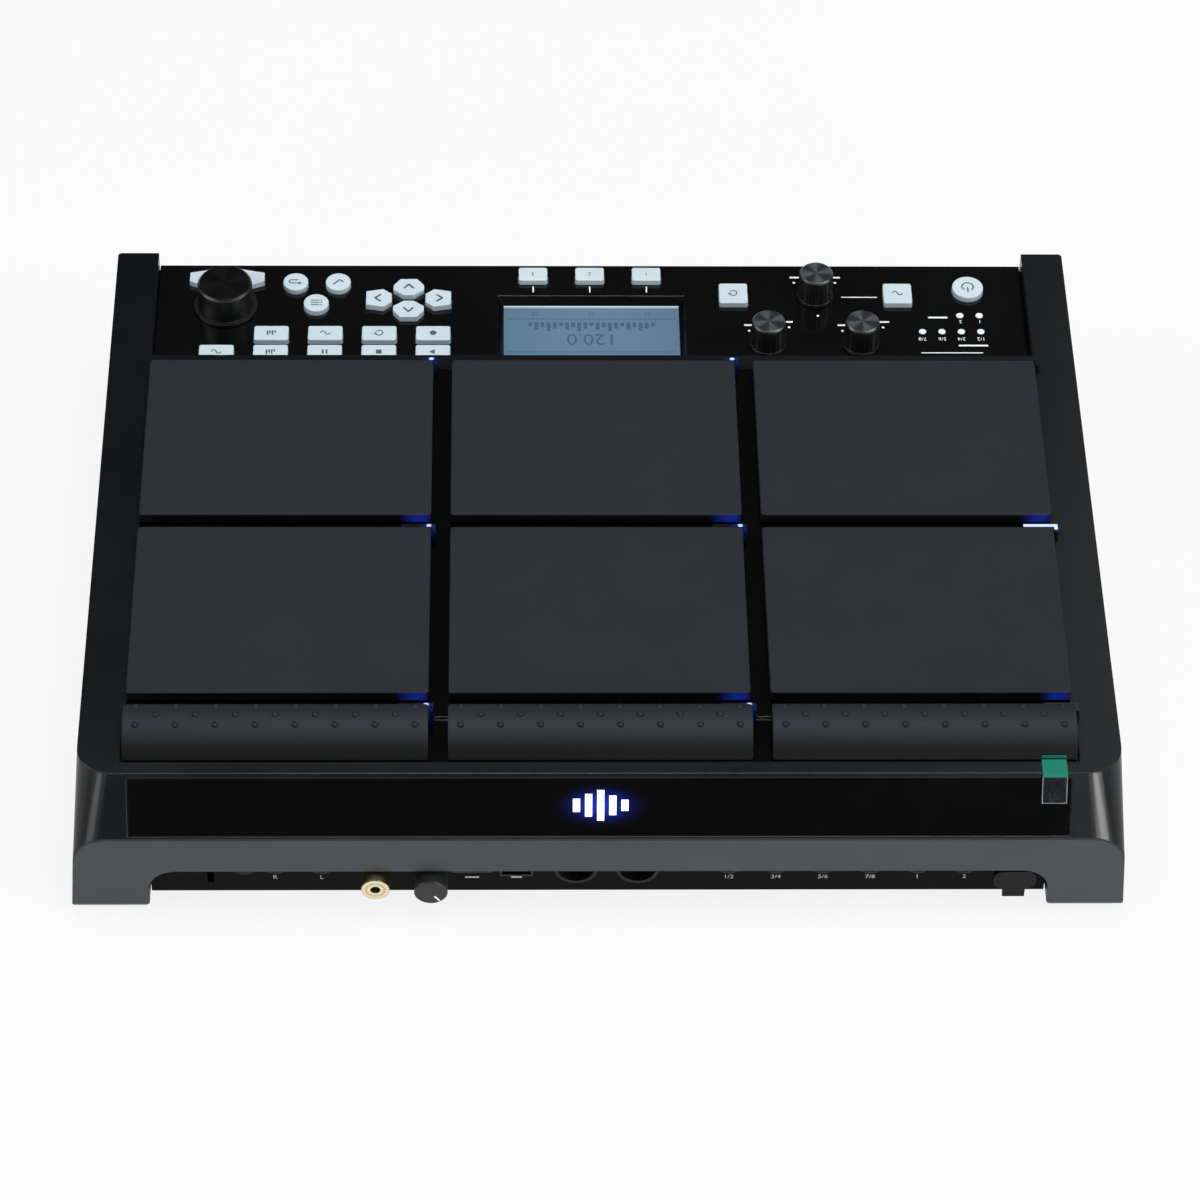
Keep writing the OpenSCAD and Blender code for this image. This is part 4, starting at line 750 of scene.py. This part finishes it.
def markDisplay(s):
    f0 = s["f0"]
    ground = face((0, frontY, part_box("lcd_module")[1].z), (1, 0, 0), (0, 1, 0))
    parts = [figures(ground, x, f0 + s["headF"], text, s["headSize"]) for x, text in s["heads"]]
    parts += [bar(ground, 0, f0 + s["lines"][0], s["wide"], s["lineDeep"])]
    for i in range(s["levels"]):
        up = (i * 7 % 5) * s["levelStep"]  # an uneven row that stands on one line
        x = s["levelX"] + s["pitch"] * i
        parts += [bar(ground, x, f0 + s["levelF"] + up, s["levelWide"], s["levelLow"] + 2 * up)]
    parts += [figures(ground, 0, f0 + s["numberF"], s["number"], s["numberSize"])]
    parts += [bar(ground, 0, f0 + s["lines"][1], s["wide"], s["lineDeep"])]
    joined("display_marks", parts, inks["ink_display"], "case")


markDisplay(displayMarks)

# the rear slope: its top line, the way down it and the way out of it
slopeSet = {"run": 11.75 * mm, "rise": 22.0 * mm, "stripSink": 0.3 * mm}
slopeDown = Vector((0, slopeSet["run"], -slopeSet["rise"])).normalized()
slopeOut = Vector((0, -slopeDown.z, slopeDown.y))
slopeTop = Vector((0, rearY - slopeSet["run"], deckZ))

emblemSet = {"heights": (5.0, 8.6, 11.6, 7.4, 4.2), "wide": 2.5, "pitch": 4.3, "down": 12.2,
             "halo": (19.0, 9.6), "haloBlue": (0.012, 0.03, 0.5, 1.0), "sheet": "#040405",
             "shades": (0.8, 1.2), "cloudScale": 22.0, "rough": 0.1}


def makeHalo(s, ground):
    # blue light that spreads in the sheet round the emblem
    finish = Finish("emblem_halo", Roughness=s["rough"], Emission_Strength=1.0)
    place = finish.coords()
    x, y, z = finish.split(place)
    wide, high = s["halo"]
    height = (z - ground.translation.z) / -slopeDown.z
    spread = ((x / (wide * mm)) ** 2 + (height / (high * mm)) ** 2) ** 0.5
    level = finish.between(spread, 1.0, 0.0)
    finish.give(Emission_Color=finish.dim(s["haloBlue"], level * level))
    cloud = finish.noise(place, s["cloudScale"])
    finish.give(Base_Color=finish.mottle(cloud, s["sheet"], *s["shades"]))
    piece = disc(ground, 0, 0, wide, roundCorners, 0, high / wide)
    joined("emblem_halo", [piece], finish, "case")


def makeEmblem(s):
    middle = slopeTop + slopeDown * s["down"] * mm - slopeOut * slopeSet["stripSink"]
    ground = face(middle, (-1, 0, 0), -slopeDown)
    makeHalo(s, ground)
    raised = face(middle + slopeOut * inkThick * 2, (-1, 0, 0), -slopeDown)
    first = -(len(s["heights"]) - 1) / 2
    parts = []
    for i, height in enumerate(s["heights"]):
        parts += [bar(raised, (first + i) * s["pitch"], 0, s["wide"], height)]
    joined("level_emblem", parts, inks["emblem_light"], "case")


makeEmblem(emblemSet)
print("display and emblem lit")

tabSet = {
    "x": -161.4, "wide": 8.9, "sheet": 0.03, "lift": 0.05,
    "start": 6.6, "flatEnd": 0.8, "curl": (0.1, 1.9),  # on the border
    "bend": (0.3, 0.2), "bendLift": 4, "turn": 1.3,  # over the edge
    "downs": ((3.0, 1), (7.0, 3)), "film": 11.5, "filmLift": 6,  # down the slope
    "green": "#006b58", "shades": (0.85, 1.1), "weaveScale": 1400.0, "greenRough": 0.5,
    "clear": "#c9d2d8", "rough": 0.22, "shine": 0.25, "alpha": 0.008, "creases": (260, 90, 90),
    "rim": 0.22, "endRim": 0.3, "rimGlintAlpha": 0.25, "fold": 0.02, "foldSheenAlpha": 0.0105,
    "bump": (0.3, 0.0004),
}


def tabFinish(s):
    # green to where the film turns down, then clear, with pale rims and folds that are painted
    # highlight on its cut edges and creases
    finish = Finish("film_tab", Specular_IOR_Level=s["shine"])
    place = finish.coords()
    x, y, z = finish.split(place)
    green = z > deckZ - s["turn"] * mm
    endZ = (slopeTop + slopeDown * s["film"] * mm).z
    rim = (abs(x - s["x"] * mm) > (s["wide"] / 2 - s["rim"]) * mm) + (z < endZ + s["endRim"] * mm)
    creasePlace = finish.join(*(c * k for c, k in zip((x, y, z), s["creases"])))
    crease = finish.noise(creasePlace, 1.0)
    fold = finish.between(abs(crease - 0.5), s["fold"], 0.0)
    weave = finish.mottle(finish.noise(place, s["weaveScale"]), s["green"], *s["shades"])
    finish.give(Base_Color=finish.blend(green, tint(s["clear"]), weave))
    finish.give(Roughness=s["rough"] + green * s["greenRough"])
    # painted highlight: the rims and folds show more of the pale film colour
    clear = s["alpha"] + rim * s["rimGlintAlpha"] + fold * s["foldSheenAlpha"]
    finish.give(Alpha=green + (1 - green) * clear)
    finish.bump(crease, *s["bump"])
    return finish


def makeTab(s):
    # pull tab of a cover film, one strip pulled on from line to line
    finish = tabFinish(s)
    out = slopeOut * s["lift"] * mm
    downs = s["downs"] + ((s["film"], s["filmLift"]),)
    rows = [Vector((0, slopeTop.y - s["start"] * mm, deckZ + s["lift"] * mm)),
            Vector((0, slopeTop.y - s["flatEnd"] * mm, deckZ + s["lift"] * mm)),
            Vector((0, slopeTop.y + s["bend"][0] * mm, deckZ - s["bend"][1] * mm))
            + out * s["bendLift"]]
    rows += [slopeTop + slopeDown * down * mm + out * lift for down, lift in downs]
    curl = rows[0] + Vector((0, -s["curl"][0], s["curl"][1])) * mm
    bpy.ops.object.select_all(action="DESELECT")
    bpy.ops.mesh.primitive_plane_add(size=1, location=(s["x"] * mm, 0, 0))
    tab = bpy.context.object
    tab.scale = (s["wide"] * mm, (rows[1] - rows[0]).length, 1)
    bpy.ops.object.transform_apply(location=False, rotation=False, scale=True)
    tab.location = (s["x"] * mm, (rows[0].y + rows[1].y) / 2, rows[0].z)
    bpy.ops.object.transform_apply(location=True, rotation=False, scale=False)
    slack = 1e-6
    for start, end in [(rows[0], curl)] + list(zip(rows[1:], rows[2:])):
        spots = tab.data.vertices
        for vertex in spots:
            vertex.select = False
        for side in tab.data.edges:
            side.select = all(abs(spots[i].co.y - start.y) < slack for i in side.vertices)
        for polygon in tab.data.polygons:
            polygon.select = False
        bpy.ops.object.mode_set(mode="EDIT")
        bpy.ops.mesh.select_mode(type="EDGE")
        bpy.ops.mesh.extrude_region_move(TRANSFORM_OT_translate={"value": end - start})
        bpy.ops.object.mode_set(mode="OBJECT")
    sheet = tab.modifiers.new("sheet", "SOLIDIFY")
    sheet.thickness = s["sheet"] * mm
    sheet.offset = 1.0
    bpy.ops.object.modifier_apply(modifier="sheet")
    joined("film_tab", [tab], finish, "case")


makeTab(tabSet)

jackGround = face((0, bayY, 0), (-1, 0, 0), (0, 0, 1))
jackMarks = {
    "figures": ((117.0, "R"), (100.2, "L"), (-47.0, "1/2"), (-64.1, "3/4"), (-81.2, "5/6"),
                (-98.3, "7/8"), (-115.4, "1"), (-132.5, "2")),
    "bars": ((45.9, 5.0), (29.8, 4.0)),
    "height": 8.4, "size": 2.9, "barHigh": 0.8,
}


def markJacks(s):
    height = s["height"]
    parts = [figures(jackGround, -x, height, text, s["size"]) for x, text in s["figures"]]
    parts += [bar(jackGround, -x, height, wide, s["barHigh"]) for x, wide in s["bars"]]
    joined("jack_marks", parts, inks["ink_worn"], "case")


markJacks(jackMarks)

pointerSet = {"turn": -52, "out": 3.6, "long": 3.0, "wide": 0.7}


def markVolume(s):
    low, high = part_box("volume_knob")
    ground = face(((low.x + high.x) / 2, high.y, (low.z + high.z) / 2), (-1, 0, 0), (0, 0, 1))
    c, n = math.cos(math.radians(s["turn"])), math.sin(math.radians(s["turn"]))
    pointer = bar(ground, s["out"] * c, s["out"] * n, s["long"], s["wide"], s["turn"])
    joined("volume_pointer", [pointer], inks["ink_white"], "volume_knob_body")


markVolume(pointerSet)
print("film tab and rear marks laid")

stageSet = {"floor": "#f8f8f8", "glow": 0.9, "size": 12, "drop": 0.0002, "rough": 0.9,
            "shine": 0.1, "seenBy": ("Is Camera Ray", "Is Glossy Ray", "Is Transmission Ray")}


def makeFloor(s):
    # the camera and the gloss see it lit, so that it stays white round the shadow
    bpy.ops.object.select_all(action="DESELECT")
    bpy.ops.mesh.primitive_plane_add(size=s["size"], location=(0, 0, -s["drop"]))
    floor = bpy.context.object
    floor.name = "floor"
    finish = Finish("floor", Roughness=s["rough"], Specular_IOR_Level=s["shine"])
    finish.shader.inputs["Base Color"].default_value = tint(s["floor"])
    path = finish.make("ShaderNodeLightPath").socket.node
    rays = [Wire(finish, path.outputs[name]) for name in s["seenBy"]]
    seen = (rays[0] + rays[1] + rays[2]).maths("MINIMUM", 1.0)
    plain = Wire(finish, finish.shader.outputs[0])
    glow = finish.make("ShaderNodeEmission", None, {"Color": tint(s["floor"]), "Strength": 1.0})
    mixed = finish.make("ShaderNodeMixShader", None, {0: seen * s["glow"], 1: plain, 2: glow})
    finish.feed(finish.tree.nodes["Material Output"].inputs["Surface"], mixed)
    floor.data.materials.append(finish.material)


makeFloor(stageSet)

lampBoxes = {
    "softboxTop": {"place": (-0.1, -0.1, 1.75), "size": (1.4, 0.7), "power": 26},
    "softboxLeft": {"place": (1.5, 0.35, 1.05), "size": (1.0, 0.6), "power": 14},
    "softboxRight": {"place": (-1.5, 0.35, 1.05), "size": (1.0, 0.6), "power": 14},
    "softboxFar": {"place": (-0.68, -1.3, 1.45), "size": (0.45, 0.6), "power": 1.2},
    "stripLeft": {"place": (0.95, 1.2, 0.3), "size": (0.36, 0.6), "power": 2.8},
    "stripRight": {"place": (-0.8, 1.33, 0.3), "size": (0.4, 0.6), "power": 11},
    "glintLeft": {"place": (1.02, 0.98, 1.1), "size": (0.2, 0.2), "power": 1.4},
    "glintRight": {"place": (-1.02, 0.98, 1.1), "size": (0.2, 0.2), "power": 1.4},
}
lampAim = Vector((0, 0, 0.05))


def makeSoftbox(name, s):
    bpy.ops.object.light_add(type="AREA", location=s["place"])
    lamp = bpy.context.object
    lamp.name = name
    lamp.data.shape = "RECTANGLE"
    lamp.data.size, lamp.data.size_y = s["size"]
    lamp.data.energy = s["power"]
    lamp.rotation_euler = (lampAim - Vector(s["place"])).to_track_quat("-Z", "Y").to_euler()


for name, s in lampBoxes.items():
    makeSoftbox(name, s)

worldSet = {"pale": "#f2f2f2", "dark": 0.05, "low": -0.05, "high": 0.03}


def makeWorld(s):
    # pale below the horizon, a dark room above
    world = bpy.data.worlds.new("studio")
    scene.world = world
    world.use_nodes = True
    tree = world.node_tree
    place = tree.nodes.new("ShaderNodeTexCoord")
    split = tree.nodes.new("ShaderNodeSeparateXYZ")
    ramp = tree.nodes.new("ShaderNodeMapRange")
    mix = tree.nodes.new("ShaderNodeMix")
    mix.data_type = "RGBA"
    ramp.inputs["From Min"].default_value = s["low"]
    ramp.inputs["From Max"].default_value = s["high"]
    mix.inputs[6].default_value = tint(s["pale"])
    mix.inputs[7].default_value = (s["dark"],) * 3 + (1,)
    tree.links.new(place.outputs["Generated"], split.inputs[0])
    tree.links.new(split.outputs["Z"], ramp.inputs["Value"])
    tree.links.new(ramp.outputs[0], mix.inputs[0])
    tree.links.new(mix.outputs[2], tree.nodes["Background"].inputs["Color"])


makeWorld(worldSet)
print("stage lit")
